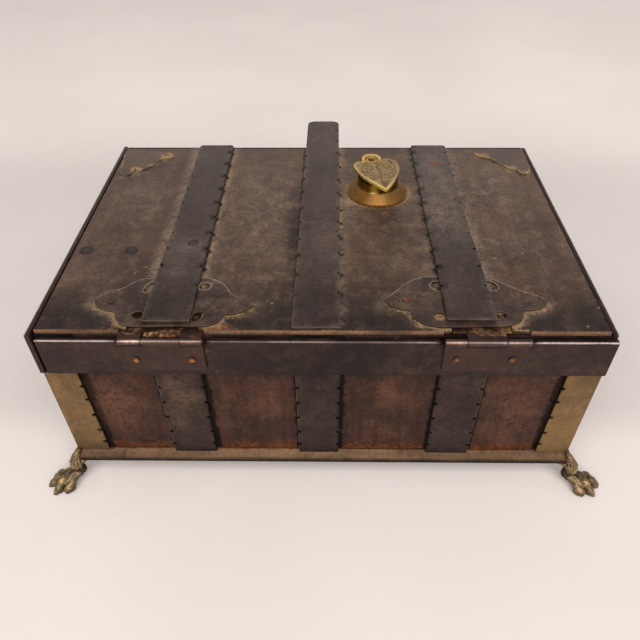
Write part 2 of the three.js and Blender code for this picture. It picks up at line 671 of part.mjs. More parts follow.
// ---------------------------------------------------------------- corner ornaments at the lock side of the lid
const ORNAMENT = {
  left: [
    [[-116.2, 73.4], [-92.6, 71.6]],
    [[-92.6, 71.6], [-89.4, 70.4], [-87.0, 66.9], [-88.6, 64.4]],
    [[-88.6, 64.4], [-91.0, 64.8], [-93.6, 63.4], [-94.9, 59.8]],
    [[-94.9, 59.8], [-98.6, 54.4], [-102.6, 50.4]],
    [[-102.6, 50.4], [-104.6, 50.6], [-106.0, 52.6]],
    [[-106.0, 52.6], [-107.2, 47.9], [-109.3, 44.6], [-111.6, 44.9], [-113.8, 48.6], [-114.7, 55.8], [-116.2, 66.7]],
    [[-116.2, 66.7], [-116.2, 73.4]],
  ],
  right: [
    [[116.2, 66.7], [115.7, 55.7]],
    [[115.7, 55.7], [114.6, 49.6], [112.2, 46.1], [109.4, 46.3], [108.0, 50.6]],
    [[108.0, 50.6], [105.4, 51.4], [103.0, 53.6]],
    [[103.0, 53.6], [100.0, 57.4], [97.6, 60.4]],
    [[97.6, 60.4], [96.4, 63.4], [94.4, 65.0], [91.2, 66.2]],
    [[91.2, 66.2], [88.6, 68.0], [87.2, 70.6], [89.3, 73.6]],
    [[89.3, 73.6], [116.2, 75.2]],
    [[116.2, 75.2], [116.2, 66.7]],
  ],
};
for (const [sideName, runs] of Object.entries(ORNAMENT))
  piece(lid, `lid_ornament_${sideName}`, slab(curved(runs, 2), PALM_Z0, PALM_Z1), "strap_iron");

// ---------------------------------------------------------------- flush plug rivets of the lid
["plug_rivet_edge", "plug_rivet_field"].forEach((name, i) =>
  piece(lid, name, post(PLUGS[i][0], PLUGS[i][1], 2.4, LID_Z0, LID_Z1 + 0.05, 16), "band_iron"),
);
piece(lid, "plug_rivet_strap", post(PLUGS[2][0], PLUGS[2][1], 2.4, LID_Z0, STRAP_Z0 + STRAP_T + 0.05, 16), "band_iron");

// ---------------------------------------------------------------- key barrel, turned brass, with a hole for the cover's pivot
const flangeTop = 2.05;
piece(
  lid,
  "key_barrel",
  cut(
    turned(
      BOSS[0],
      BOSS[1],
      [
        [BORE_R, -0.6],
        [8.0, -0.6],
        [8.0, flangeTop],
        [FLANGE_R, flangeTop],
        [FLANGE_R, 2.75],
        [15.3, 3.1],
        [14.9, 3.15],
        [10.9, 6.7],
        [BARREL_R, 7.2],
        [BARREL_R, BARREL_TOP - 0.4],
        [BARREL_R - 0.4, BARREL_TOP],
        [BORE_R + 0.3, BARREL_TOP],
        [BORE_R, BARREL_TOP - 0.3],
        [BORE_R, -0.6],
      ].reverse(),
      32,
    ),
    post(COVER_PIVOT[0], COVER_PIVOT[1], 1.15, 7.5, 20, 12),
  ),
  "bright_brass",
);
piece(
  lid,
  "cover_pivot",
  join(
    post(COVER_PIVOT[0], COVER_PIVOT[1], 1.03, 8, COVER_Z1 - 0.4, 12),
    post(COVER_PIVOT[0], COVER_PIVOT[1], 2.3, COVER_Z1 - 0.45, COVER_Z1 - 0.05, 14),
    post(COVER_PIVOT[0], COVER_PIVOT[1], 1.5, COVER_Z1 - 0.1, COVER_Z1 + 0.2, 14),
  ),
  "bright_brass",
);
piece(lid, "key_post", join(post(BOSS[0], BOSS[1], 1.2, -9.6, 2.0, 12), post(BOSS[0], BOSS[1], 2.4, -9.55, -8.8, 12)), "spring_steel");

// ---------------------------------------------------------------- heart-shaped swing cover
const HEART = curved(
  [
    [[1.6, 8.4], [4.0, 10.2], [7.4, 9.4], [9.9, 6.0], [10.7, 1.4], [10.2, -4.2], [8.2, -10.6], [5.7, -16.4], [3.4, -20.6], [2.4, -21.5]],
    [[2.4, -21.5], [1.0, -20.4], [-2.2, -16.4], [-5.4, -12.8], [-8.2, -9.2], [-11.2, -3.4], [-13.0, 2.2]],
    [[-13.0, 2.2], [-12.2, 4.6], [-10.6, 6.2], [-8.2, 6.6]],
    [[-8.2, 6.6], [-3.35, 8.55]],
    [[-3.35, 8.55], [1.6, 8.4]],
  ],
  3,
).map((p) => [p[0] + BOSS[0], p[1] + BOSS[1]]);
piece(
  cover,
  "heart_cover",
  cut(
    join(
      slab(HEART, COVER_Z0, COVER_Z1),
      post(COVER_PIVOT[0], COVER_PIVOT[1], 5.0, COVER_Z0, COVER_Z1, 24),
      // raised lip round the far side of the pivot
      slab(
        [
          ...circle(COVER_PIVOT[0], COVER_PIVOT[1], 5.0, 14, -0.25, Math.PI + 0.25),
          ...circle(COVER_PIVOT[0], COVER_PIVOT[1] - 0.5, 3.7, 12, -0.12, Math.PI + 0.12).reverse(),
        ],
        COVER_Z1 - 0.5,
        COVER_Z1 + 0.9,
      ),
    ),
    post(COVER_PIVOT[0], COVER_PIVOT[1], 2.75, COVER_Z1 - 0.55, COVER_Z1 + 3, 18),
    post(COVER_PIVOT[0], COVER_PIVOT[1], 1.15, 0, 30, 12),
  ),
  "dull_brass",
);

// ---------------------------------------------------------------- lock under the lid
{
  const c = CASE,
    top = -0.3;
  let shell = cut(
    box(c.x0, c.x1, c.y0, c.y1, c.z0, top),
    box(c.x0 + c.t, c.x1 - c.t, c.y0 + c.t, c.y1 - c.t, c.z0 + c.t, top + 1),
    box(BOLT_X - BOLT_W / 2 - 0.4, BOLT_X + BOLT_W / 2 + 0.4, c.y1 - 3, c.y1 + 3, BOLT_Z0 - 0.4, BOLT_Z1 + 0.4),
  );
  // two ears carry the case; their rivets end under the lid straps
  shell = join(
    shell,
    box(-0.4, c.x0 + 0.2, EAR_Y - 4, EAR_Y + 4, top - 1.2, top),
    box(c.x1 - 0.2, 60, EAR_Y - 4, EAR_Y + 4, top - 1.2, top),
  );
  shell = cut(
    shell,
    ...EAR_X.map((x) => post(x, EAR_Y, 1.25, -5, 3, 12)),
    post(BOSS[0], BOSS[1], 1.45, -20, -9, 12),
  );
  piece(lid, "lock_case", shell, "wall_iron");
  EAR_X.forEach((x, i) =>
    piece(
      lid,
      `case_rivet_${i ? "right" : "left"}`,
      join(post(x, EAR_Y, 1.0, -2.0, LID_Z1 - 0.05, 12), post(x, EAR_Y, 2.2, -2.6, -1.75, 12)),
      "band_iron",
    ),
  );

  // bolt: a flat bar with a talon for the key and a bevelled nose
  const x0 = BOLT_X - BOLT_W / 2,
    x1 = BOLT_X + BOLT_W / 2;
  const outline = [
    [x0, 17.5],
    [x1, 17.5],
    [x1, BOLT_TIP - 0.8],
    [x1 - 0.8, BOLT_TIP],
    [x0 + 0.8, BOLT_TIP],
    [x0, BOLT_TIP - 0.8],
    [x0, 32.5],
    [x0 + 3.2, 31.6],
    [x0 + 3.2, 25.8],
    [x0, 24.9],
  ];
  piece(bolt, "lock_bolt", slab(outline, BOLT_Z0, BOLT_Z1), "spring_steel");

  // staple that carries the bolt under the lid
  piece(
    lid,
    "bolt_staple",
    cut(
      box(x0 - 2.6, x1 + 2.6, 52, 57, BOLT_Z0 - 1.6, top),
      box(x0 - 0.4, x1 + 0.4, 51, 58, BOLT_Z0 - 0.4, top + 1),
    ),
    "wall_iron",
  );
  // leaf spring between the case and the bolt: it holds the bolt where the key leaves it
  const sp = [];
  const bow = (y) => x0 - 0.45 - 4.2 * Math.pow((y - 42) / 8.5, 2);
  for (let y = 34.5; y <= 49.51; y += 1.5) sp.push([bow(y), y]);
  const back = sp.map(([x, y]) => [x - 0.6, y]).reverse();
  piece(lid, "bolt_spring", slab([...sp, ...back], BOLT_Z0 + 0.2, BOLT_Z1 - 0.2), "spring_steel");
}
// plate inside the front wall, behind whose edge the bolt catches
piece(
  body,
  "bolt_keeper",
  cut(
    box(BOLT_X - 14, BOLT_X + 14, WALL_Y - WALL_T - GAP - 1.5, WALL_Y - WALL_T - GAP, -12.5, -1.2),
    box(BOLT_X - 5.1, BOLT_X + 5.1, WALL_Y - 6, WALL_Y, BOLT_Z0 - 0.5, BOLT_Z1 + 0.5),
  ),
  "wall_iron",
);

// ---------------------------------------------------------------- assembly
const group = new THREE.Group();
lid.add(cover, bolt);
group.add(body, lid);
body.position.set(0, SHIFT_Y, SHIFT_Z);
lid.position.set(0, SHIFT_Y, SHIFT_Z);
export default group;
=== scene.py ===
"""Iron strongbox with brass corners, paw feet and a turned key barrel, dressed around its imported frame."""

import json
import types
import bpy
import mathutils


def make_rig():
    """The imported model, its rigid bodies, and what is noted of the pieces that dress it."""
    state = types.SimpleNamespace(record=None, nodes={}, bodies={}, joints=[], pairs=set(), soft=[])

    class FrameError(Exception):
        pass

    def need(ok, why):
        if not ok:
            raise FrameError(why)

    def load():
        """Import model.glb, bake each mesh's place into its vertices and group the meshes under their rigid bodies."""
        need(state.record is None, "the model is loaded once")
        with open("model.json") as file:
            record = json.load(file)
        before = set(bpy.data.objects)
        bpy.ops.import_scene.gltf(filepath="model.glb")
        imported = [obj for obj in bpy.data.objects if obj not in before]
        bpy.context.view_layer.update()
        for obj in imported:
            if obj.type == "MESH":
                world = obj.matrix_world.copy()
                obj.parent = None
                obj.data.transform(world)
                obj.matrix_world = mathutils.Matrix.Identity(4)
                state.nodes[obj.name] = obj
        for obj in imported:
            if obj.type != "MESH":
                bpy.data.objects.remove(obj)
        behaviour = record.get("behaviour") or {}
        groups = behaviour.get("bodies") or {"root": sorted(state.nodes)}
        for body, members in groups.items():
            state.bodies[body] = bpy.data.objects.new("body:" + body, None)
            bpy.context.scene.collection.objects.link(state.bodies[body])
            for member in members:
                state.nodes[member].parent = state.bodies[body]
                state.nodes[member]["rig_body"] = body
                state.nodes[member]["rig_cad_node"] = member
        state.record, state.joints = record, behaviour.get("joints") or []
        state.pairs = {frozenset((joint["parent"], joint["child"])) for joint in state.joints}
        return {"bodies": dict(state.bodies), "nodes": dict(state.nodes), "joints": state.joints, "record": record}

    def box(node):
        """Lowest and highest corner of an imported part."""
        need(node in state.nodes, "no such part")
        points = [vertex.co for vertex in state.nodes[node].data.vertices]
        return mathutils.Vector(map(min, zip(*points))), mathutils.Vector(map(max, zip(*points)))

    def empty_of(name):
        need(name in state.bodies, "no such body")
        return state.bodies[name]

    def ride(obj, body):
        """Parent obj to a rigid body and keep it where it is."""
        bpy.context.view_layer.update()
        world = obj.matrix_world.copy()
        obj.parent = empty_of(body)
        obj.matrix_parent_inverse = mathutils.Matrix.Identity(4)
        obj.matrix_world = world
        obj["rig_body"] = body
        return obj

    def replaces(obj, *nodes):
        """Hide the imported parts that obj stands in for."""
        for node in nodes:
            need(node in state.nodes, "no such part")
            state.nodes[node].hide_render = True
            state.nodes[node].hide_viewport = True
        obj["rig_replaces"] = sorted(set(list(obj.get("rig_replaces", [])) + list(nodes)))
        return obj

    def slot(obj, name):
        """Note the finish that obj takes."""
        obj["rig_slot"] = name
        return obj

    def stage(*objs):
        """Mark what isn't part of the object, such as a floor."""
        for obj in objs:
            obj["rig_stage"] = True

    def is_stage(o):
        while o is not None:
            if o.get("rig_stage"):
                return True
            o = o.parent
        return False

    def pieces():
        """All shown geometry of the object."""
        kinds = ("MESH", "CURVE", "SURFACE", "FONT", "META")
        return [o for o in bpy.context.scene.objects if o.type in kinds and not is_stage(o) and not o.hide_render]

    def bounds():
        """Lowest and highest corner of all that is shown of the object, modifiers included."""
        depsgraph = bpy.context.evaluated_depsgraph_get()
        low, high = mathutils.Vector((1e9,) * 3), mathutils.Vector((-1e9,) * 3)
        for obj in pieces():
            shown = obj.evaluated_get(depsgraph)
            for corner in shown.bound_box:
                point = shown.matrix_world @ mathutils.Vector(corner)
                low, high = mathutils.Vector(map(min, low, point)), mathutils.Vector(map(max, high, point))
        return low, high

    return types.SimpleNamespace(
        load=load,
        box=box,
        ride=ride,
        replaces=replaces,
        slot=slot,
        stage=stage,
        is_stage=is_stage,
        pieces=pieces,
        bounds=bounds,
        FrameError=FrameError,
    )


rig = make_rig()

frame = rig.load()

import json
import math

import bmesh
import bpy
import numpy as np
from mathutils import Matrix, Vector

cad_low, cad_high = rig.bounds()
nodes = frame["nodes"]
SHIFT = np.array([0.0, -8.25, 96.0])  # drawing datum (middle of the mouth band's top) to the row frame, mm
MM = 0.001
BOSS = (28.7, 28.7)
PIVOT = (25.35, 37.25)


def body_name(node):
    for name, spec in frame["record"]["behaviour"]["bodies"].items():
        if node in (spec["nodes"] if isinstance(spec, dict) else spec):
            return name
    raise KeyError(node)


# ------------------------------------------------------------------------------------------------ colour and noise
def lin(r, g, b):
    def one(v):
        v /= 255.0
        return v / 12.92 if v <= 0.04045 else ((v + 0.055) / 1.055) ** 2.4

    return (one(r), one(g), one(b), 1.0)


def hash_grid(i, j, k, seed):
    with np.errstate(over="ignore"):
        n = i.astype(np.uint64) * np.uint64(374761393)
        n = n + j.astype(np.uint64) * np.uint64(668265263) + k.astype(np.uint64) * np.uint64(2246822519)
        n = n + np.uint64(seed * 3266489917)
        n = (n ^ (n >> np.uint64(13))) * np.uint64(1274126177)
        n = n ^ (n >> np.uint64(16))
    return (n & np.uint64(0xFFFF)).astype(float) / 65535.0


def vnoise(P, size, seed=1):
    """smooth value noise 0..1 at points P (mm), cells of the given size"""
    q = np.asarray(P, float) / size + 4096.0
    i = np.floor(q).astype(np.int64)
    f = q - i
    f = f * f * (3 - 2 * f)
    out = 0.0
    for a in (0, 1):
        for b in (0, 1):
            for c in (0, 1):
                w = (f[:, 0] if a else 1 - f[:, 0]) * (f[:, 1] if b else 1 - f[:, 1]) * (f[:, 2] if c else 1 - f[:, 2])
                out = out + w * hash_grid(i[:, 0] + a, i[:, 1] + b, i[:, 2] + c, seed)
    return out


def fnoise(P, size, seed=1, octaves=3):
    total = 0.0
    weight = 0.0
    for o in range(octaves):
        total = total + vnoise(P, size / 2**o, seed + 17 * o) * 0.55**o
        weight += 0.55**o
    return total / weight


def smooth(lo, hi, v):
    t = np.clip((v - lo) / (hi - lo), 0, 1)
    return t * t * (3 - 2 * t)


def seg_dist(P, A, B):
    """least distance from points P to the segments A-B, in as many dimensions as they have"""
    P, A, B = (np.asarray(v, float) for v in (P, A, B))
    AB = B - A
    L2 = np.maximum((AB**2).sum(1), 1e-12)
    out = np.empty(len(P))
    for s in range(0, len(P), 3000):
        p = P[s : s + 3000, None, :]
        t = np.clip(((p - A) * AB).sum(-1) / L2, 0, 1)
        q = p - (A + t[..., None] * AB)
        out[s : s + 3000] = np.sqrt((q**2).sum(-1).min(1))
    return out


def spots(P, *list_):
    """soft blobs (x, y, z, rx, ry, rz, strength) added up, for points P in datum mm"""
    out = np.zeros(len(P))
    for x, y, z, rx, ry, rz, k in list_:
        d = ((P[:, 0] - x) / rx) ** 2 + ((P[:, 1] - y) / ry) ** 2 + ((P[:, 2] - z) / rz) ** 2
        out += k * np.exp(-d)
    return out


# ------------------------------------------------------------------------------------------------ meshes
def cad_bm(name):
    bm = bmesh.new()
    bm.from_mesh(nodes[name].data)
    bmesh.ops.remove_doubles(bm, verts=bm.verts, dist=3e-6)
    bmesh.ops.dissolve_limit(bm, angle_limit=math.radians(0.6), verts=bm.verts, edges=bm.edges)
    return bm


def sharp_segments(name, angle=35, plan=False, zlow=None):
    """the CAD node's sharp edges in datum mm; with plan, only those that bound its upper faces, in x and y"""
    bm = cad_bm(name)
    A, B = [], []
    for e in bm.edges:
        if len(e.link_faces) != 2 or e.calc_face_angle(0) < math.radians(angle):
            continue
        if plan:
            nz = sorted(f.normal.z for f in e.link_faces)
            if nz[1] < 0.8 or nz[0] > 0.4:
                continue
        a, b = (np.array(v.co) / MM - SHIFT for v in e.verts)
        A.append(a[:2] if plan else a)
        B.append(b[:2] if plan else b)
    bm.free()
    return np.array(A), np.array(B)


def soften(bm, width, segments=2, angle=35, keep=None):
    sharp = [e for e in bm.edges if len(e.link_faces) == 2 and e.calc_face_angle(0) > math.radians(angle)]
    if keep:
        sharp = [e for e in sharp if keep(e)]
    bmesh.ops.bevel(
        bm, geom=sharp, offset=width * MM, offset_type="OFFSET", segments=segments, profile=0.5, affect="EDGES", clamp_overlap=True
    )


def slice_axis(bm, axis, step):
    """cuts the faces by parallel planes so that the mesh can carry painted detail"""
    lo = min(v.co[axis] for v in bm.verts)
    hi = max(v.co[axis] for v in bm.verts)
    n = int(round((hi - lo) / (step * MM)))
    if n < 2:
        return
    normal = Vector((0, 0, 0))
    normal[axis] = 1
    geom = bm.verts[:] + bm.edges[:] + bm.faces[:]
    for k in range(1, n):
        p = lo + (hi - lo) * k / n
        co = Vector((0, 0, 0))
        co[axis] = p
        r = bmesh.ops.bisect_plane(bm, geom=geom, dist=1e-6, plane_co=co, plane_no=normal)
        rest = []
        for g in r["geom"]:
            if not g.is_valid:
                continue
            if isinstance(g, bmesh.types.BMVert):
                if g.co[axis] > p - 1e-6:
                    rest.append(g)
            elif isinstance(g, bmesh.types.BMEdge):
                if max(g.verts[0].co[axis], g.verts[1].co[axis]) > p + 1e-6:
                    rest.append(g)
            else:
                if max(v.co[axis] for v in g.verts) > p + 1e-6:
                    rest.append(g)
        geom = rest


def to_object(bm, name, angle=30):
    me = bpy.data.meshes.new(name)
    bmesh.ops.recalc_face_normals(bm, faces=bm.faces)
    bm.to_mesh(me)
    bm.free()
    me.shade_smooth()
    me.set_sharp_from_angle(angle=math.radians(angle))
    o = bpy.data.objects.new(name, me)
    bpy.context.scene.collection.objects.link(o)
    return o


def points(o):
    co = np.empty(len(o.data.vertices) * 3)
    o.data.vertices.foreach_get("co", co)
    return co.reshape(-1, 3) / MM - SHIFT


def normals(o):
    no = np.empty(len(o.data.vertices) * 3, np.float32)
    o.data.vertex_normals.foreach_get("vector", no)
    return no.reshape(-1, 3).astype(float)


def put_points(o, P):
    o.data.vertices.foreach_set("co", ((P + SHIFT) * MM).ravel())
    o.data.update()


def paint(o, **fields):
    for name, values in fields.items():
        a = o.data.attributes.get(name) or o.data.attributes.new(name, "FLOAT", "POINT")
        a.data.foreach_set("value", np.clip(np.asarray(values, float), -4, 4).astype(np.float32))


def weigh(o):
    m = o.modifiers.new("weighted", "WEIGHTED_NORMAL")
    m.keep_sharp = True
    m.weight = 90
    return o


def skin(node, material, bevel=0.22, segments=2, steps=(None, None, None), angle=30, slot=None):
    """a finer copy of a CAD node: softened edges, sliced for painting; it replaces the node on its body"""
    bm = cad_bm(node)
    if bevel:
        soften(bm, bevel, segments)
    for axis, step in enumerate(steps):
        if step:
            slice_axis(bm, axis, step)
    o = to_object(bm, node + "_fine", angle)
    weigh(o)
    return adopt(o, node, material, slot)


SLOT = {}
for s_node, s_obj in nodes.items():
    mats = [m.name for m in s_obj.data.materials if m]
    SLOT[s_node] = mats[0].split(".")[0] if mats else None


def adopt(o, node, material, slot=None):
    o.data.materials.clear()
    o.data.materials.append(material)
    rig.replaces(o, node)
    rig.ride(o, body_name(node))
    s = slot or SLOT.get(node)
    if s:
        try:
            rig.slot(o, s)
        except Exception as error:
            print("slot", node, s, error)
    return o


# ------------------------------------------------------------------------------------------------ materials
class Mat:
    def __init__(self, name, rough=0.5, metal=0.0, specular=0.5):
        self.m = bpy.data.materials.new(name)
        self.m.use_nodes = True
        self.nt = self.m.node_tree
        self.nt.nodes.clear()
        self.out = self.nt.nodes.new("ShaderNodeOutputMaterial")
        self.b = self.nt.nodes.new("ShaderNodeBsdfPrincipled")
        self.nt.links.new(self.b.outputs[0], self.out.inputs[0])
        self.b.inputs["Roughness"].default_value = rough
        self.b.inputs["Metallic"].default_value = metal
        self.b.inputs["Specular IOR Level"].default_value = specular
        self.P = self.nt.nodes.new("ShaderNodeTexCoord").outputs["Object"]

    def put(self, socket, value):
        if isinstance(value, bpy.types.NodeSocket):
            self.nt.links.new(value, socket)
        else:
            socket.default_value = value

    def math(self, op, a, b=0.5, clamp=False):
        n = self.nt.nodes.new("ShaderNodeMath")
        n.operation = op
        n.use_clamp = clamp
        self.put(n.inputs[0], a)
        self.put(n.inputs[1], b)
        return n.outputs[0]

    def noise(self, size, detail=2.0, rough=0.55, stretch=None, move=None, distort=0.0):
        v = self.P
        if stretch or move:
            mp = self.nt.nodes.new("ShaderNodeMapping")
            mp.inputs["Scale"].default_value = stretch or (1, 1, 1)
            mp.inputs["Location"].default_value = move or (0, 0, 0)
            self.put(mp.inputs["Vector"], v)
            v = mp.outputs[0]
        n = self.nt.nodes.new("ShaderNodeTexNoise")
        n.inputs["Scale"].default_value = 1000.0 / size
        n.inputs["Detail"].default_value = detail
        n.inputs["Roughness"].default_value = rough
        n.inputs["Distortion"].default_value = distort
        self.put(n.inputs["Vector"], v)
        return n.outputs["Fac"]

    def cells(self, size, move=None):
        v = self.P
        if move:
            mp = self.nt.nodes.new("ShaderNodeMapping")
            mp.inputs["Location"].default_value = move
            self.put(mp.inputs["Vector"], v)
            v = mp.outputs[0]
        n = self.nt.nodes.new("ShaderNodeTexVoronoi")
        n.inputs["Scale"].default_value = 1000.0 / size
        self.put(n.inputs["Vector"], v)
        return n.outputs["Distance"]

    def attr(self, name):
        n = self.nt.nodes.new("ShaderNodeAttribute")
        n.attribute_type = "GEOMETRY"
        n.attribute_name = name
        return n.outputs["Fac"]

    def step(self, value, lo, hi, to0=0.0, to1=1.0):
        n = self.nt.nodes.new("ShaderNodeMapRange")
        n.interpolation_type = "SMOOTHSTEP"
        n.inputs["From Min"].default_value = lo
        n.inputs["From Max"].default_value = hi
        n.inputs["To Min"].default_value = to0
        n.inputs["To Max"].default_value = to1
        self.put(n.inputs["Value"], value)
        return n.outputs[0]

    def mix(self, factor, a, b, blend="MIX"):
        n = self.nt.nodes.new("ShaderNodeMix")
        n.data_type = "RGBA"
        n.blend_type = blend
        self.put(n.inputs[0], factor)
        self.put(n.inputs[6], a)
        self.put(n.inputs[7], b)
        return n.outputs[2]

    def color(self, c):
        self.put(self.b.inputs["Base Color"], c)

    def rough(self, r):
        self.put(self.b.inputs["Roughness"], r)

    def bump(self, height, distance=0.1, strength=1.0):
        n = self.nt.nodes.new("ShaderNodeBump")
        n.inputs["Distance"].default_value = distance * MM
        n.inputs["Strength"].default_value = strength
        self.put(n.inputs["Height"], height)
        self.put(self.b.inputs["Normal"], n.outputs[0])


def patina(
    name,
    a,
    b,
    c,
    rough=0.5,
    metal=0.2,
    specular=0.5,
    big=34,
    mid=7,
    fine=1.1,
    midk=0.7,
    finek=0.35,
    streak=None,
    dust=(150, 125, 90),
    haze=None,
    rust=((122, 66, 32), (72, 36, 22)),
    dark=(16, 11, 9),
    wear=(128, 108, 100),
    wear_at=(0.86, 1.0, 0.5),
    speck=(150, 120, 90),
    specks=0.10,
    bump=0.05,
    rough_by=(0.14, 0.3),
    lite=None,
    gloss=0.12,
):
    """aged metal: two broad tones, mottling, fine grain, then rust, dust, dirt, worn edges, painted shade and painted
    highlights where they are painted
    """
    m = Mat(name, rough, metal, specular)
    n_big = m.noise(big, 3, 0.6, move=(0.31, 0.12, 0.07))
    n_mid = m.noise(mid, 4, 0.65, distort=0.4)
    n_fine = m.noise(fine, 2, 0.6)
    col = m.mix(m.step(n_big, 0.36, 0.64), lin(*a), lin(*b))
    col = m.mix(m.math("MULTIPLY", m.step(n_mid, 0.44, 0.72), midk), col, lin(*c))
    if streak:
        (sx, sy, sz), size, depth = streak
        n_s = m.noise(size, 3, 0.6, stretch=(sx, sy, sz))
        col = m.mix(1.0, col, m.step(n_s, 0.3, 0.7, 1 - depth, 1 + depth), "MULTIPLY")
    col = m.mix(1.0, col, m.step(n_fine, 0.25, 0.75, 1 - finek, 1 + finek), "MULTIPLY")
    a_rust, a_dust, a_patch, a_dark, a_edge, a_lite = (m.attr(k) for k in ("rust", "dust", "patch", "dark", "edge", "lite"))
    # dark smudges and painted shade
    k_dark = m.math("MULTIPLY", a_dark, m.step(n_mid, 0.2, 0.75, 1.15, 0.75), clamp=True)
    col = m.mix(k_dark, col, lin(*dark))
    # pale haze of dry dust
    k_patch = m.math("MULTIPLY", a_patch, m.step(m.math("ADD", m.math("MULTIPLY", n_mid, 0.6), m.math("MULTIPLY", n_fine, 0.4)), 0.3, 0.66), clamp=True)
    col = m.mix(k_patch, col, lin(*(haze or dust)))
    # rust
    n_r = m.noise(2.6, 4, 0.7, move=(0.5, 0.9, 0.2))
    k_rust = m.step(m.math("ADD", a_rust, m.math("MULTIPLY", m.math("SUBTRACT", n_r, 0.5), 1.5)), 0.38, 0.86)
    k_rust = m.math("MULTIPLY", k_rust, m.step(a_rust, 0.02, 0.14))
    col = m.mix(k_rust, col, m.mix(m.step(n_fine, 0.35, 0.65), lin(*rust[1]), lin(*rust[0])))
    # dust lying along an edge
    n_d = m.noise(1.7, 3, 0.7, move=(0.1, 0.4, 0.8))
    k_dust = m.step(m.math("ADD", a_dust, m.math("MULTIPLY", m.math("SUBTRACT", n_d, 0.5), 1.1)), 0.34, 0.82)
    k_dust = m.math("MULTIPLY", k_dust, m.step(a_dust, 0.02, 0.2))
    col = m.mix(k_dust, col, lin(*dust))
    # worn arrises
    k_wear = m.math("MULTIPLY", m.step(a_edge, wear_at[0], wear_at[1]), m.step(n_r, 0.36, 0.6, 0.15, wear_at[2]))
    col = m.mix(k_wear, col, lin(*wear))
    # paler spots and painted highlights
    k_lite = m.math("MULTIPLY", a_lite, m.step(n_fine, 0.2, 0.7, 0.55, 1.0), clamp=True)
    col = m.mix(k_lite, col, lin(*(lite or wear)))
    # scattered specks
    if specks:
        k_s = m.math("MULTIPLY", m.step(m.cells(9.0), 0.5 * specks, specks, 1.0, 0.0), m.step(n_big, 0.42, 0.6))
        col = m.mix(m.math("MULTIPLY", k_s, 0.55), col, lin(*speck))
    m.color(col)
    r = m.math("ADD", m.step(n_mid, 0.25, 0.75, rough - rough_by[0], rough + rough_by[0]), m.math("MULTIPLY", m.math("MAXIMUM", m.math("MAXIMUM", k_dust, k_rust), m.math("MULTIPLY", k_dark, 0.8)), rough_by[1]), clamp=True)
    r = m.math("SUBTRACT", r, m.math("MULTIPLY", m.math("MAXIMUM", k_wear, k_lite), gloss), clamp=True)
    m.rough(r)
    h = m.math("ADD", m.math("MULTIPLY", n_mid, 0.9), m.math("MULTIPLY", n_fine, 0.35))
    h = m.math("ADD", h, m.math("MULTIPLY", k_rust, m.math("MULTIPLY", n_r, 0.6)))
    m.bump(h, bump * 10 * 0.1, 1.0)
    return m.m


M = {}
M["lid"] = patina("lid_patina", (83, 61, 49), (65, 47, 38), (104, 81, 65), rough=0.45, metal=0.2, specular=0.33, fine=1.5, finek=0.25, streak=((1.0, 0.22, 1.0), 7, 0.16), dust=(142, 115, 83), haze=(144, 123, 104), rust=((142, 88, 48), (84, 48, 30)), lite=(156, 112, 78))
M["strap"] = patina("strap_patina", (66, 51, 46), (51, 38, 34), (80, 61, 50), rough=0.38, metal=0.25, specular=0.33, fine=1.6, finek=0.24, midk=0.55, streak=((1.0, 0.2, 1.0), 7, 0.14), specks=0.0, haze=(146, 126, 110), wear=(136, 116, 106), wear_at=(0.94, 0.99, 0.5), rust=((128, 82, 54), (88, 56, 40)))
M["palm"] = patina("palmette_patina", (62, 46, 40), (47, 35, 31), (86, 62, 48), rough=0.35, metal=0.25, specular=0.33, fine=1.5, finek=0.24, midk=0.6, haze=(130, 104, 86), wear=(166, 144, 128), wear_at=(0.94, 0.99, 0.7), speck=(160, 124, 100), specks=0.08, rust=((150, 90, 62), (96, 58, 42)))
M["ornament"] = patina("ornament_patina", (80, 60, 50), (62, 46, 40), (96, 72, 58), rough=0.38, metal=0.25, specular=0.36, fine=1.5, finek=0.22, midk=0.6, dust=(146, 118, 84), wear=(150, 126, 108), wear_at=(0.94, 0.99, 0.5), specks=0.0)
M["band"] = patina("band_patina", (46, 30, 28), (35, 23, 23), (64, 42, 34), rough=0.34, metal=0.2, specular=0.2, fine=1.8, finek=0.24, midk=0.55, streak=((0.3, 1.0, 1.0), 5, 0.12), specks=0.05, wear=(210, 188, 182), wear_at=(0.9, 0.975, 1.0), gloss=0.2)
M["wall"] = patina("wall_patina", (60, 37, 30), (46, 30, 26), (82, 56, 43), rough=0.46, metal=0.1, specular=0.1, mid=17, fine=1.5, finek=0.22, midk=0.6, specks=0.04, streak=((1.0, 1.0, 0.14), 2.6, 0.24), haze=(118, 80, 60), rust=((98, 56, 30), (68, 37, 22)), dark=(15, 9, 7))
M["wstrap"] = patina("wall_strap_patina", (44, 31, 29), (35, 25, 24), (62, 42, 34), rough=0.4, metal=0.2, specular=0.16, fine=1.5, finek=0.27, midk=0.6, specks=0.0, haze=(104, 80, 64), wear=(132, 112, 100), wear_at=(0.94, 0.99, 0.6), rust=((108, 72, 48), (78, 50, 36)))
M["hinge"] = patina("hinge_patina", (66, 42, 34), (49, 31, 27), (84, 55, 42), rough=0.26, metal=0.55, dust=(150, 112, 78), midk=0.5, fine=1.4, finek=0.2, wear=(150, 116, 102), wear_at=(0.94, 0.99, 0.6), lite=(186, 156, 144), rough_by=(0.06, 0.3))
M["rusty"] = patina("rivet_rust", (92, 55, 32), (62, 36, 22), (122, 78, 45), rough=0.75, metal=0.1, specular=0.2, fine=0.6, mid=1.6, midk=0.9, specks=0.0, lite=(186, 126, 76))
M["ledge"] = patina(
    "ledge_brass", (82, 61, 43), (60, 44, 31), (103, 79, 55), rough=0.46, metal=0.5, specular=0.15, big=22, mid=6, midk=0.75, fine=1.6, finek=0.2, streak=((0.12, 1, 1), 4, 0.2), dust=(150, 116, 82), dark=(34, 24, 20), specks=0.0
)
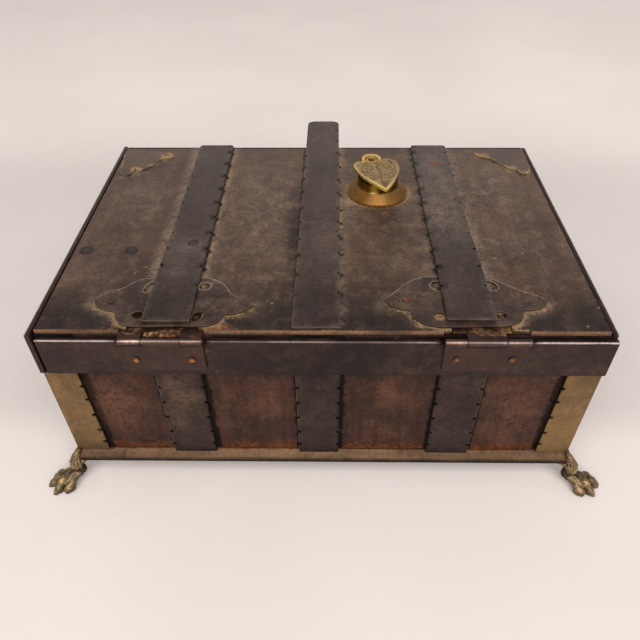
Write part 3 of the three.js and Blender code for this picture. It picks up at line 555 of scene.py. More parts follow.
M["corner"] = patina(
    "corner_brass", (120, 92, 58), (102, 80, 50), (138, 108, 72), rough=0.4, metal=0.7, big=20, midk=0.7, fine=1.4, finek=0.14, mid=6, streak=((1, 1, 0.2), 5, 0.1), dust=(120, 92, 56), dark=(46, 38, 18), wear=(176, 146, 100), lite=(154, 122, 66), specks=0.0
)
M["paw"] = patina(
    "paw_brass", (114, 97, 70), (86, 73, 52), (144, 121, 85), rough=0.4, metal=0.7, mid=2.6, midk=0.7, fine=0.7, finek=0.22, dark=(26, 20, 13), wear=(214, 172, 112), specks=0.0, gloss=0.1
)
M["gold"] = patina(
    "barrel_brass", (125, 88, 17), (103, 71, 14), (132, 95, 36), rough=0.4, metal=0.85, specular=0.2, midk=0.35, fine=0.8, finek=0.06, dust=(136, 98, 62), dark=(22, 18, 5), wear=(196, 166, 120), lite=(236, 196, 96), specks=0.0, bump=0.004, rough_by=(0.05, 0.25)
)
M["cover"] = patina(
    "cover_brass", (160, 131, 87), (134, 108, 72), (186, 154, 102), rough=0.36, metal=0.6, mid=1.6, midk=0.7, fine=0.5, finek=0.2, dark=(66, 50, 28), wear=(206, 170, 98), lite=(255, 216, 112), specks=0.0, bump=0.03, gloss=0.16
)
M["steel"] = patina("spring_steel", (112, 110, 110), (96, 92, 90), (130, 124, 118), rough=0.32, metal=0.9, midk=0.4, specks=0.0)
M["plug"] = patina("plug_iron", (38, 31, 31), (32, 26, 26), (48, 38, 35), rough=0.46, metal=0.2, midk=0.4, specks=0.0)
M["inside"] = patina("lock_iron", (62, 44, 36), (50, 36, 30), (84, 58, 42), rough=0.5, metal=0.3, midk=0.6, specks=0.05)

# ------------------------------------------------------------------------------------------------ lid
own = {}


def edge_field(o, node, reach=6.0, angle=35):
    if node not in own:
        own[node] = sharp_segments(node, angle)
    A, B = own[node]
    return np.clip(1 - seg_dist(points(o), A, B) / reach, 0, 1)


outline = {n: sharp_segments(n, 35, plan=True) for n in ("lid_strap_left", "lid_strap_middle", "lid_strap_right", "palmette_left", "palmette_right", "lid_ornament_left", "lid_ornament_right")}

lid = skin("lid_plate", M["lid"], 0.25, 2, (1.0, 1.0, None))
P = points(lid)
xy = P[:, :2]
wob = fnoise(P, 14, 5) - 0.5
wob2 = fnoise(P, 4, 9) - 0.5


def sides(P, axis, top, soft=0.35, sign=1):
    """1 on the parts of a thin plate that lie below its outer face, where its side faces take painted shade"""
    return smooth(0.03, soft * 0.5, sign * (top - P[:, axis]))


def halo(d, w):
    return np.clip(1 - d / w, 0, 1)


def bite_levels(node, axis, edge_at, inward, along, face=None, beyond=0.0):
    """where along its edge a plate has been bitten: the means of its corners that lie just inside that edge"""
    bm = cad_bm(node)
    cut = [np.array(v.co[:]) / MM - SHIFT for v in bm.verts]
    bm.free()
    levels = sorted(c[along] for c in cut if 0.35 < (c[axis] - edge_at) * inward < 3.2 and (face is None or abs(c[face]) > beyond))
    groups = []
    for level in levels:
        if groups and level - groups[-1][-1] < 1.8:
            groups[-1].append(level)
        else:
            groups.append([level])
    return [sum(g) / len(g) for g in groups]


d_sl, d_sm, d_sr, d_pl, d_pr, d_ol, d_or = (seg_dist(xy, *outline[k]) for k in outline)
d_fl = np.abs(np.hypot(P[:, 0] - BOSS[0], P[:, 1] - BOSS[1]) - 16.0)
near_side = P[:, 1] < -74
dust = np.zeros(len(P))
# along the straps: a thin line each side, wider where more has gathered
left_of = P[:, 0] < -63
dust = np.maximum(dust, halo(d_sl, 4.2) * np.where(left_of, 0.5, 1.05) * (0.9 + 1.0 * wob + 0.9 * wob2))
right_m = P[:, 0] > 0
dust = np.maximum(dust, halo(d_sm, 3.6) * np.where(right_m, 0.82 - 0.2 * smooth(10, -20, P[:, 1]), 0.5) * (0.9 + 1.0 * wob + 0.9 * wob2))
right_r = P[:, 0] > 61
dust = np.maximum(dust, halo(d_sr, 4.2) * np.where(right_r, 0.56, 0.7) * (0.9 + 1.0 * wob + 0.9 * wob2))
dust = dust * smooth(0.3, 1.1, np.minimum(np.minimum(d_sl + np.where(left_of, 0.8, 0), d_sm + np.where(right_m, 0.8, 0)), d_sr + np.where(right_r, 0.8, 0)))
for d, k in ((d_pl, 1.0), (d_pr, 1.0)):
    nearer = smooth(-56, -68, P[:, 1])
    dust = np.maximum(dust, halo(d, 2.0 + 3.4 * nearer) * (0.4 + 0.5 * nearer) * k * (0.85 + 0.6 * wob + 0.7 * wob2))
for d, lo in ((d_ol, 1), (d_or, 1)):
    dust = np.maximum(dust, halo(d, 2.4 + 3.0 * wob2) * smooth(-1, 0.2, d) * (0.4 + 1.2 * wob + 1.0 * wob2) * (P[:, 1] < 70.5))
dust = np.maximum(dust, halo(d_fl, 4.5) * 0.8 * (0.9 + 0.8 * wob))
# ochre packed under the pierced plates, seen through their holes
under = spots(P, (-76, -71, 1.8, 4, 4, 9, 0.5), (-51, -52, 1.8, 4.5, 4.5, 9, 1.2), (-51, -72, 1.8, 4, 5, 9, 1.2), (-75, -52, 1.8, 3, 5, 9, 0.35), (50, -51, 1.8, 4, 5, 9, 1.2), (49, -71, 1.8, 4, 4, 9, 1.0), (74, -51, 1.8, 3.5, 5, 9, 1.0), (74, -70, 1.8, 3.5, 4, 9, 1.0))
dust = np.maximum(dust, np.clip(under * (0.3 + 2.8 * wob2), 0, 0.62))
dust = np.maximum(dust, 0.9 * halo(np.abs(P[:, 1] + 78.4), 2.2) * spots(P, (-64, -78, 1.8, 22, 6, 9, 0.9), (52, -78, 1.8, 9, 6, 9, 1.0), (78, -78, 1.8, 10, 6, 9, 1.0)))
patch = spots(
    P,
    (-30, 34, 1.8, 20, 30, 9, 0.42),
    (-26, -4, 1.8, 14, 34, 9, 0.42),
    (96, 52, 1.8, 16, 30, 9, 0.34),
    (-92, 20, 1.8, 16, 20, 9, 0.5),
    (-98, -60, 1.8, 4, 3, 9, 0.5),
    (44, 0, 1.8, 9, 26, 9, 0.22),
    (84, 40, 1.8, 14, 30, 9, 0.25),
    (92, -16, 1.8, 22, 8, 9, 0.30),
    (36, -34, 1.8, 6, 7, 9, 0.4),
    (28.7, 26.0, 1.8, 20, 18, 9, 0.95),
    (16, 30, 1.8, 5, 30, 9, 0.4),
    (14, 18, 1.8, 5, 12, 9, 0.4),
)
patch = patch * (0.7 + 1.4 * wob) * (0.8 + 1.0 * wob2)
beside = np.maximum(np.maximum(halo(d_sl, 6.5) * np.where(left_of, 1.1, 0.7), halo(d_sm, 5.0) * np.where(right_m, 0.6, 0.2)), halo(d_sr, 6.5) * np.where(right_r, 0.95, 0.75))
beside = np.maximum(beside, 0.7 * np.maximum(halo(d_pl, 6.5), halo(d_pr, 6.5)) * smooth(-50, -66, P[:, 1]))
patch = np.maximum(patch, beside * (0.8 + 1.2 * wob + 0.6 * wob2) * smooth(-84, -60, P[:, 1] + 22 * (P[:, 1] > -60)) * np.where(P[:, 1] < -79, 0, 1))
rust = spots(
    P,
    (26, 0, 1.8, 14, 6, 9, 0.32),
    (-26, -2, 1.8, 2, 1.5, 9, 0.6),
    (-16, 6, 1.8, 1.6, 5, 9, 0.5),
    (-14.2, -30, 1.8, 1.8, 26, 9, 0.42),
    (40, -36, 1.8, 3.5, 3.5, 9, 0.55),
    (-103, -40, 1.8, 3, 2, 9, 0.4),
    (88, -55, 1.8, 4, 3, 9, 0.4),
    (98, -58, 1.8, 10, 10, 9, 0.42),
    (-44, -42, 1.8, 4, 4, 9, 0.4),
    (-38, -52, 1.8, 3, 3, 9, 0.3),
)
settled = spots(P, (91, 67.5, 1.8, 6, 3.2, 9, 1.0), (105.5, 52, 1.8, 5.5, 3.6, 9, 1.0), (112, 46.5, 1.8, 2.6, 2.4, 9, 0.8), (-105.5, 48.5, 1.8, 4.2, 3.6, 9, 1.1), (-91.5, 64.5, 1.8, 5, 3, 9, 1.0), (-110.5, 44, 1.8, 3, 2.2, 9, 0.8))
patch = np.maximum(patch, settled * (0.75 + 0.8 * wob2))
dust = np.maximum(dust, 0.55 * settled * (0.8 + 1.5 * wob2))
near_edge = halo(np.abs(P[:, 1] + 79.2), 1.5)
rust = np.maximum(rust, near_edge * (0.42 + 0.9 * wob))
rust = np.maximum(rust, spots(P, (-42, -77, 1.8, 8, 2.5, 9, 0.9), (-86, -78, 1.8, 5, 2, 9, 0.6)))
# darker towards the hinge side and in smudges; painted shadow lines beside the straps, along the far edge and under the
# near edges of the palmettes
dark = 0.8 * smooth(-42, -74, P[:, 1]) + spots(P, (-104, 4, 1.8, 14, 22, 9, 0.2), (-14, -12, 1.8, 3.0, 48, 9, 0.8), (49.5, 24, 1.8, 2.2, 60, 9, 0.5), (30, -40, 1.8, 18, 22, 9, 0.25), (-84, -30, 1.8, 8, 40, 9, 0.25), (-96, -66, 1.8, 18, 10, 9, 0.14), (28, 12, 1.8, 10, 26, 9, 0.1))
strap_shadow_line = np.maximum(np.maximum(halo(d_sl, 2.0) * np.where(left_of, 0.3, 1.2), halo(d_sm, 1.8) * np.where(right_m, 0.5, 1.1)), halo(d_sr, 2.4) * np.where(right_r, 0.3, 1.3))
dark = np.maximum(dark, 0.85 * smooth(77.0, 77.8, P[:, 1] + 0.8 * wob2))
dark = dark + 1.1 * strap_shadow_line + 0.9 * np.maximum(halo(d_pl, 1.3), halo(d_pr, 1.3)) * smooth(-52, -60, P[:, 1])
# painted shade on the lid inside the bites of the strap edges
for n, sizes in (("lid_strap_left", (1.0, 2.2)), ("lid_strap_middle", (1.5, 1.6)), ("lid_strap_right", (2.2, 1.0))):
    lo_, hi_ = (np.array(v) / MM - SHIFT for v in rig.box(n))
    for x_edge, inward, size_ in ((lo_[0], 1, sizes[0]), (hi_[0], -1, sizes[1])):
        into = (P[:, 0] - x_edge) * inward
        for y_ in bite_levels(n, 0, x_edge, inward, 1):
            hole = smooth(size_, size_ - 0.7, np.hypot(into - 0.5, P[:, 1] - y_))
            dark = np.maximum(dark, 1.1 * hole)
            dust = dust * (1 - hole)
            patch = patch * (1 - hole)
for n, k in (("plug_rivet_edge", 0.62), ("plug_rivet_field", 0.62)):
    lo_, hi_ = (np.array(v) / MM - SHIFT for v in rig.box(n))
    r_ = np.hypot(P[:, 0] - (lo_[0] + hi_[0]) / 2, P[:, 1] - (lo_[1] + hi_[1]) / 2)
    size_ = (hi_[0] - lo_[0]) / 2
    dark = np.maximum(dark, k * smooth(size_ + 1.9, size_ + 0.6, r_ + 1.2 * wob2))
    patch = patch * smooth(size_ + 0.6, size_ + 2.4, r_)
# painted shade under the pierced plates; along the near arris a paler rust-tan line, partly rust and partly painted
# highlight
arris = smooth(0.42, 0.08, np.abs(P[:, 1] + 79.15)) * smooth(0.9, 1.5, P[:, 2])
dark = np.maximum(dark, np.clip(under, 0, 1) * np.clip(0.55 - 2.2 * wob2, 0.1, 0.9))
lite = arris * np.clip(0.62 + 1.2 * wob, 0, 1)
# the under side has none of that: plain dark sheet, a little rust towards its edges
upper = P[:, 2] > 0.9
from_edge = np.minimum(116.6 - np.abs(P[:, 0]), 79.2 - np.abs(P[:, 1]))
dust = dust * upper
patch = np.where(upper, patch, np.clip(0.12 + 0.7 * wob, 0, 1))
rust = np.where(upper, rust, np.clip(0.3 * smooth(14, 2, from_edge) + 0.5 * wob2 * smooth(0.05, 0.2, wob), 0, 1))
dark = np.where(upper, dark, 0.32 + 0.5 * wob)
paint(lid, dust=np.clip(dust, 0, 1.2), patch=np.clip(patch, 0, 0.9), rust=np.clip(rust, 0, 1), dark=np.clip(dark, 0, 0.9), edge=np.zeros(len(P)), lite=lite)

for side in ("left", "middle", "right"):
    node = "lid_strap_" + side
    o = skin(node, M["strap"], 0.2, 2, (0.9, 0.9, None))
    P = points(o)
    if side != "middle":
        # the strap climbs on to the palmette in a long easy bend, thickening a little on the way
        was = np.clip((-40.8 - P[:, 1]) / 3.0, 0, 1)
        through = np.clip((P[:, 2] - 2.0 - was) / 1.3, 0, 1)
        bend = P[:, 1] > -51.0
        foot = 2.0 + smooth(-41.0, -44.0, P[:, 1])
        head = 3.3 + smooth(-4.0, -50.0, P[:, 1])
        P[:, 2] = np.where(bend, foot + (head - foot) * through, P[:, 2])
        put_points(o, P)
    e = edge_field(o, node)
    if side != "middle":
        e = e * np.where((P[:, 1] > -44.5) & (P[:, 1] < -40) & (np.abs(P[:, 0] - P[:, 0].mean()) < 8.5), 0.6, 1)
    # the bitten edges are paler on one side only
    paler_side = {"left": P[:, 0] < -61, "middle": (P[:, 1] > -78) | (P[:, 0] > 0), "right": P[:, 0] > 61}[side]
    e = e * np.where(paler_side | (P[:, 1] < -73), 1, 0.97)
    w1 = fnoise(P, 10, 21) - 0.5
    top = 3.3 + smooth(-4.0, -50.0, P[:, 1]) if side != "middle" else 3.3
    # darker towards the hinge end; painted shade on the side faces
    dark = 0.3 * smooth(-30, -78, P[:, 1]) * (1 + w1)
    dark = np.maximum(dark, 0.95 * sides(P, 2, top))
    e = e * np.where(P[:, 2] > top - 0.12, 1, 0.85)
    # painted shade in the bites, and a painted shadow line along one edge
    lo_, hi_ = (np.array(v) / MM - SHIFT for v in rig.box(node))
    w2 = fnoise(P, 1.6, 23) - 0.5
    for x_edge, inward, size_, line_ in (
        (lo_[0], 1, {"left": 1.2, "middle": 1.6, "right": 2.3}[side], {"left": 0.0, "middle": 0.3, "right": 1.0}[side]),
        (hi_[0], -1, {"left": 2.3, "middle": 1.6, "right": 1.1}[side], {"left": 0.9, "middle": 0.25, "right": 0.0}[side]),
    ):
        into = (P[:, 0] - x_edge) * inward
        for y_ in bite_levels(node, 0, x_edge, inward, 1):
            dark = np.maximum(dark, 0.95 * smooth(size_ + 0.45, size_ - 0.15, np.hypot(into - 0.7, P[:, 1] - y_) + 0.5 * w2))
        dark = np.maximum(dark, 0.95 * line_ * smooth(1.0, 0.3, into + 1.5 * w2))
    if side == "middle":  # the tab's under side is handled as much as its upper one
        dark = np.where((P[:, 1] > 79.8) & (P[:, 2] < 2.6), 0.3 + 0.4 * w1, dark)
    patch = 0.18 * smooth(0.55, 0.95, e) * (0.6 + 2 * w1)
    rust = np.zeros(len(P))
    if side == "left":
        rust = spots(P, (-60, -28, 3, 5, 6, 9, 0.25), (-66, -60, 3, 5, 5, 9, 0.2))
        patch = patch + spots(P, (-62, -24, 3, 7, 8, 9, 0.25), (-66, -44, 3, 5, 3, 9, 0.3))
    if side == "middle":
        rust = spots(P, (2, -46, 3, 5, 7, 9, 0.35), (-2, -60, 3, 4, 5, 9, 0.2))
        patch = patch + spots(P, (0, -6, 3, 9, 30, 9, 0.13))
    if side == "right":
        rust = spots(P, (63.4, 56, 3, 4.2, 4.6, 9, 0.85), (61, 66, 3, 3, 3, 9, 0.4), (66, 20, 3, 4, 20, 9, 0.15))
        patch = patch + spots(P, (62, 46, 3, 10, 34, 9, 0.42), (60, 4, 3, 9, 22, 9, 0.36))
    paint(o, edge=e, dark=np.clip(dark, 0, 1), patch=np.clip(patch, 0, 1), rust=rust, dust=np.zeros(len(P)), lite=np.zeros(len(P)))

for side in ("left", "right"):
    node = "palmette_" + side
    o = skin(node, M["palm"], 0.16, 2, (1.6, 1.6, None))
    P = points(o)
    e = edge_field(o, node)
    w1 = fnoise(P, 8, 31) - 0.5
    far = smooth(-62, -54, P[:, 1])
    # darker towards the hinge side; painted shade on the side faces
    dark = np.clip(0.25 * smooth(-60, -76, P[:, 1]) + w1 * 0.3, 0, 1)
    dark = np.maximum(dark, 0.95 * sides(P, 2, 2.8, 0.3))
    e = e * np.where(P[:, 2] > 2.7, 1, 0.85)
    paint(o, edge=e * np.where(far > 0.3, 1, 0.975), dark=dark, patch=np.clip(0.12 + w1, 0, 0.3), rust=spots(P, (36.2, -60.6, 2.8, 2.2, 2.6, 9, 0.7), (81.7, -57.2, 2.8, 2.2, 2.2, 9, 0.6), (86, -57, 2.8, 4, 3, 9, 0.3), (-89, -62, 2.8, 2, 2, 9, 0.3)), dust=np.zeros(len(P)), lite=0.5 * far * smooth(0.9, 1.0, e) * (P[:, 2] > 2.5))
    node = "lid_ornament_" + side
    o = skin(node, M["ornament"], 0.16, 2, (1.6, 1.6, None))
    P = points(o)
    e = edge_field(o, node)
    w1 = fnoise(P, 7, 33) - 0.5
    lip_ = smooth(0.68, 0.92, e) * (P[:, 1] < 71) * (P[:, 2] > 2.5)
    # painted shade on the side faces
    paint(o, edge=e, dark=np.clip(0.25 * w1 + 0.8 * sides(P, 2, 2.8, 0.3), 0, 1), patch=np.clip(0.1 + 0.5 * w1, 0, 0.4), rust=0 * e, dust=lip_ * np.clip(0.34 + 2.0 * w1, 0.08, 1) + spots(P, (92, 69, 2.8, 6, 3.5, 9, 0.75), (105.5, 54, 2.8, 5, 4, 9, 0.8), (112, 48, 2.8, 2.5, 3, 9, 0.6), (-105.5, 51, 2.8, 4, 3.5, 9, 0.85), (-91.5, 66.5, 2.8, 5, 3, 9, 0.7), (-98, 56, 2.8, 5, 1.6, 9, 0.5)) * (1 + w1), lite=0 * e)

for n in nodes:
    if n.startswith("palmette_rivet"):
        o = skin(n, M["palm"], 0.12)
        P = points(o)
        worn = 0.55 if "right" in n else 0.2
        paint(o, edge=0 * P[:, 0], dark=0.1 + 0 * P[:, 0], patch=0 * P[:, 0], rust=worn + 0 * P[:, 0], dust=0 * P[:, 0], lite=0 * P[:, 0])
for n in ("plug_rivet_edge", "plug_rivet_field", "plug_rivet_strap"):
    o = skin(n, M["strap" if n.endswith("strap") else "plug"], 0.15)
    e = edge_field(o, n, 3)
    paint(o, edge=e * 0.9, dark=0 * e, patch=0 * e, rust=0 * e, dust=0 * e, lite=0 * e)

# ------------------------------------------------------------------------------------------------ box walls, bands, ledge
for node in ("wall_back", "wall_front", "wall_left", "wall_right"):
    across = node in ("wall_left", "wall_right")
    o = skin(node, M["wall"], 0.2, 1, (None, 2.0, 2.0) if across else (0.9, None, 1.6))
    P = points(o)
    w1 = fnoise(P, 12, 41) - 0.5
    w2 = fnoise(P, 2.2, 43) - 0.5
    z = P[:, 2]
    rust = 0.76 * smooth(-66.0, -75.5, z + 7 * w1)
    out = (np.abs(P[:, 1]) > 78.9) | (np.abs(P[:, 0]) > 117.2)
    gap = 9e9 * np.ones(len(P))
    if not across:
        for x0, x1 in ((-71.5, -51.3), (-11.1, 8.2), (50.4, 70.7)):
            gap = np.minimum(gap, np.where(P[:, 0] > x1, P[:, 0] - x1, np.where(P[:, 0] < x0, (x0 - P[:, 0]) * 1.6, 0)))
        for x in (-103.6, 103.6):
            gap = np.minimum(gap, np.where(abs(x) > np.abs(P[:, 0]), abs(x) - np.abs(P[:, 0]), 0))
    deep = 1.5 * np.ones(len(P))
    if node == "wall_back":  # the straps and corner plates stand off further on some sides, and their painted shadow is wider there
        for x, w_ in ((-51.3, 2.6), (8.2, 1.9), (50.4, 2.0), (-103.6, 2.6), (103.6, 1.7)):
            deep = np.where(np.abs(P[:, 0] - x) < 6, w_, deep)
    # painted shade where the band covers the wall, and a painted shadow beside each strap and corner plate
    dark = np.where(out, 0.75 * smooth(-25, -20, z) + 1.3 * smooth(deep * 1.1 + 2.4 * w2, deep * 0.75 + 2.4 * w2, gap), 0.2)
    rust = np.maximum(rust, 0.3 * smooth(5, 1.5, gap) * (1 + 2 * w1) * out)
    rust = rust * smooth(deep * 0.7, deep * 1.2, gap + 1.2 * w2)
    rust = rust + spots(P, (26, -79.3, -40, 9, 4, 10, 0.25), (-34, -79.3, -45, 10, 4, 5, 0.25), (85, -79.3, -58, 8, 4, 8, 0.15), (-96, -79.3, -52, 6, 4, 8, 0.2))
    patch = spots(P, (-90, -79.3, -44, 12, 4, 20, 0.5), (88, -79.3, -46, 13, 4, 22, 0.45), (-30, -79.3, -38, 14, 4, 12, 0.25), (30, -79.3, -36, 9, 4, 14, 0.3)) * (1 + 1.6 * w1) * out
    dark = dark + spots(P, (14, -79.3, -44, 5, 4, 22, 0.3), (-82, -79.3, -40, 8, 4, 22, 0.2), (45, -79.3, -46, 6, 4, 26, 0.3)) + 0.35 * w1
    paint(o, rust=np.clip(rust, 0, 1), dark=np.clip(dark, 0, 1.1), dust=0 * z, patch=np.clip(patch, 0, 1), edge=0 * z, lite=0 * z)

for node in ("band_back", "band_left", "band_right", "band_front"):
    long_ = node in ("band_back", "band_front")
    o = skin(node, M["band"], 0.3, 3, (2.5, 0.7, 0.8) if long_ else (0.7, 2.5, 0.8))
    P = points(o)
    e = edge_field(o, node)
    w1 = fnoise(P, 12, 51) - 0.5
    z = P[:, 2]
    rust = 0.3 * smooth(-19.2, -21, z) + np.where(z > -2.2, 0.12, 0)
    rust = rust + spots(P, (-83.5, -81.8, -8, 1.6, 3, 8, 0.7), (-47, -81.8, -8, 1.2, 3, 9, 0.5), (49, -81.8, -8, 1.6, 3, 9, 0.55))
    top_z = {"band_back": -1.5, "band_left": 1.2, "band_right": 0.4, "band_front": -0.5}[node]
    outer = np.abs(P[:, 1]) > 81.4 if long_ else np.abs(P[:, 0]) > 119.6
    # painted highlight along the outer top arris, brighter at the ends and on the far side; painted shade in the hinge
    # notches, on the top faces and along the bottom of the bands
    rim = smooth(0.5, 0.15, np.abs(z - top_z)) * outer
    bright = 0.22 + 0.7 * (fnoise(P * [1, 1, 0], 14, 53) - 0.4) + 0.5 * smooth(-80, -88, P[:, 0]) + (0.75 * smooth(84, 92, P[:, 0]) if node == "band_back" else 0.0) + 0.2 * (P[:, 1] > 0)
    notch = np.zeros(len(P))
    if node == "band_back":
        for x in (-82.9, -46.8, 48.8, 85.2):
            notch = np.maximum(notch, smooth(1.5, 0.9, np.abs(P[:, 0] - x)) * smooth(-6.5, -4.0, z))
        bright = bright * (1 - notch)
    low = smooth(-19.9, -20.8, z)
    top_face = smooth(0.3, 0.1, top_z - z) * smooth(81.6, 81.1, np.abs(P[:, 1]))
    if node == "band_back":
        notch = np.maximum(notch, 0.62 * top_face)
    paint(o, rust=np.clip(rust, 0, 1) * (1 - notch), dark=np.clip(0.3 * w1 + 0.1 + 0.5 * low + notch + (0.5 * np.exp(-((P[:, 0] / 42) ** 2)) if node == "band_back" else 0) + (0.5 * smooth(0.6, 0.2, top_z - z) if node == "band_right" else 0) + (0.45 * rim * smooth(52, 42, np.abs(P[:, 0])) if node == "band_back" else 0), 0, 1), dust=0 * z, patch=np.clip(0.03 + 0.15 * w1, 0, 1), edge=0 * z, lite=np.clip(rim * bright * (0.5 if node == "band_left" else 1.0), 0, 1))

for n in nodes:
    if n.startswith(("back_strap_", "front_strap_")):
        o = skin(n, M["wstrap"], 0.2, 2, (1.6, None, 1.6))
        P = points(o)
        e = edge_field(o, n)
        w1 = fnoise(P, 9, 61) - 0.5
        z = P[:, 2]
        rust = spots(P, (-63, -80.5, -38, 8, 3, 7, 0.5), (-66, -80.5, -52, 4, 3, 8, 0.35), (-1, -80.5, -31, 7, 3, 4, 0.4), (60, -80.5, -24, 8, 3, 2, 0.3), (58, -80.5, -77, 7, 3, 1.5, 0.4))
        haze_ = spots(P, (-62, -80.5, -36, 9, 3, 11, 0.75), (-66, -80.5, -52, 5, 3, 8, 0.4))
        lo_, hi_ = (np.array(v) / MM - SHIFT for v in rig.box(n))
        # one edge of each strap stays paler; along the other a painted shadow line
        bright_x = {"back_strap_left": lo_[0], "back_strap_middle": lo_[0], "back_strap_right": hi_[0]}.get(n, lo_[0])
        e = e * np.where(np.abs(P[:, 0] - bright_x) < 0.45, 1, 0.93)
        w2 = fnoise(P, 1.8, 63) - 0.5
        # darker low down; painted shade under the band and on the side faces
        dark = np.clip(0.3 * smooth(-70, -78, z) + 0.2 * smooth(-27, -22, z) + 0.3 * w1, 0, 1)
        dark = np.maximum(dark, 0.97 * smooth(0.03, 0.17, 81.0 - np.abs(P[:, 1])))
        e = e * np.where(np.abs(P[:, 1]) > 80.9, 1, 0.85)
        shadow_edge_x = lo_[0] + hi_[0] - bright_x
        dark = np.maximum(dark, 0.9 * smooth(0.9, 0.1, np.abs(P[:, 0] - shadow_edge_x) + 1.8 * w2))
        paint(o, edge=e, rust=np.clip(rust, 0, 1), dark=dark, dust=0 * z, patch=np.clip(0.05 + w1 * 0.4 + haze_ * (1 + 1.5 * w1), 0, 0.6), lite=0 * z)
    if n.startswith("corner_plate_"):
        o = skin(n, M["corner"], 0.25, 2, (0.9, 0.9, 0.9))
        P = points(o)
        e = edge_field(o, n)
        w1 = fnoise(P, 9, 71) - 0.5
        z = P[:, 2]
        depth = np.minimum(119.2 - np.abs(P[:, 0]), 81.05 - np.abs(P[:, 1]))
        corner = (np.abs(P[:, 0]) > 118.6) & (np.abs(P[:, 1]) > 80.4)
        # darker low down; painted shade under the band and on the side faces
        dark = np.clip((0.3 if P[:, 0].mean() > 0 else 0.6) * smooth(-67, -77, z + 4 * w1) + 0.3 * w1 + 0.25 * smooth(-30, -22, z), 0, 0.9)
        dark = np.maximum(dark, np.where(corner, 0, 0.97 * smooth(0.04, 0.23, depth)))
        # painted shade in and about the bites of the edge, each round, with a ring of rust about it
        w2 = fnoise(P, 1.6, 73) - 0.5
        bite_shade = np.zeros(len(P))
        ring = np.zeros(len(P))
        sign_ = np.array([np.sign(P[:, 0].mean()), np.sign(P[:, 1].mean())])
        for axis, edge_at, face, beyond in ((0, 103.6, 1, 80.5), (1, 65.6, 0, 118.6)):
            for z_ in bite_levels(n, axis, edge_at * sign_[axis], sign_[axis], 2, face, beyond):
                r_ = np.hypot(np.abs(P[:, axis]) - edge_at - 1.0, z - z_)
                bite_shade = np.maximum(bite_shade, smooth(1.5, 0.75, r_ + 0.9 * w2) * (np.abs(P[:, face]) > beyond - 0.2))
                ring = np.maximum(ring, smooth(2.9, 1.3, r_ + 2.2 * w2) * (np.abs(P[:, face]) > beyond - 0.2))
        edge_x = np.where(np.abs(P[:, 1]) > 80.4, np.abs(P[:, 0]) - 103.6, np.abs(P[:, 1]) - 65.6)
        dark = np.maximum(dark, 0.97 * bite_shade)
        # painted shadow along the bitten inner edge
        dark = np.maximum(dark, 0.85 * smooth(0.9, 0.1, edge_x + 1.6 * w2))
        e = e * np.where((edge_x < 2.4) | (depth > 0.12), 0.5, 1)
        # painted light on the lower part of the right-hand plates
        paint(o, edge=e * 0.9, rust=np.clip(ring * (0.55 + 0.9 * w1), 0, 0.75), dark=dark, dust=0 * z, patch=np.clip(w1, 0, 0.5), lite=(0.34 if P[:, 0].mean() > 0 else 0.0) * smooth(-36, -62, z) * (depth < 0.12))

o = skin("base_plate", M["ledge"], 0.25, 2, (3.0, 3.0, 0.8))
P = points(o)
w1 = fnoise(P, 10, 81) - 0.5
z = P[:, 2]
inside = (np.abs(P[:, 0]) < 117) & (np.abs(P[:, 1]) < 79)
N = normals(o)
# painted shade inside the box, along the bottom edge and on the downward faces
dark = np.where(inside, 0.55, np.maximum(0.97 * smooth(-79.5, -80.6, z), 0.6 * smooth(0.5, 1.0, -N[:, 2]))) + 0.7 * w1
rust = np.where(inside, 0.25, 0.55 * smooth(-78.3, -77.4, z))
paint(o, rust=np.clip(rust, 0, 1), dark=np.clip(dark, 0, 1), dust=0 * z, patch=0 * z, edge=0 * z, lite=0 * z)

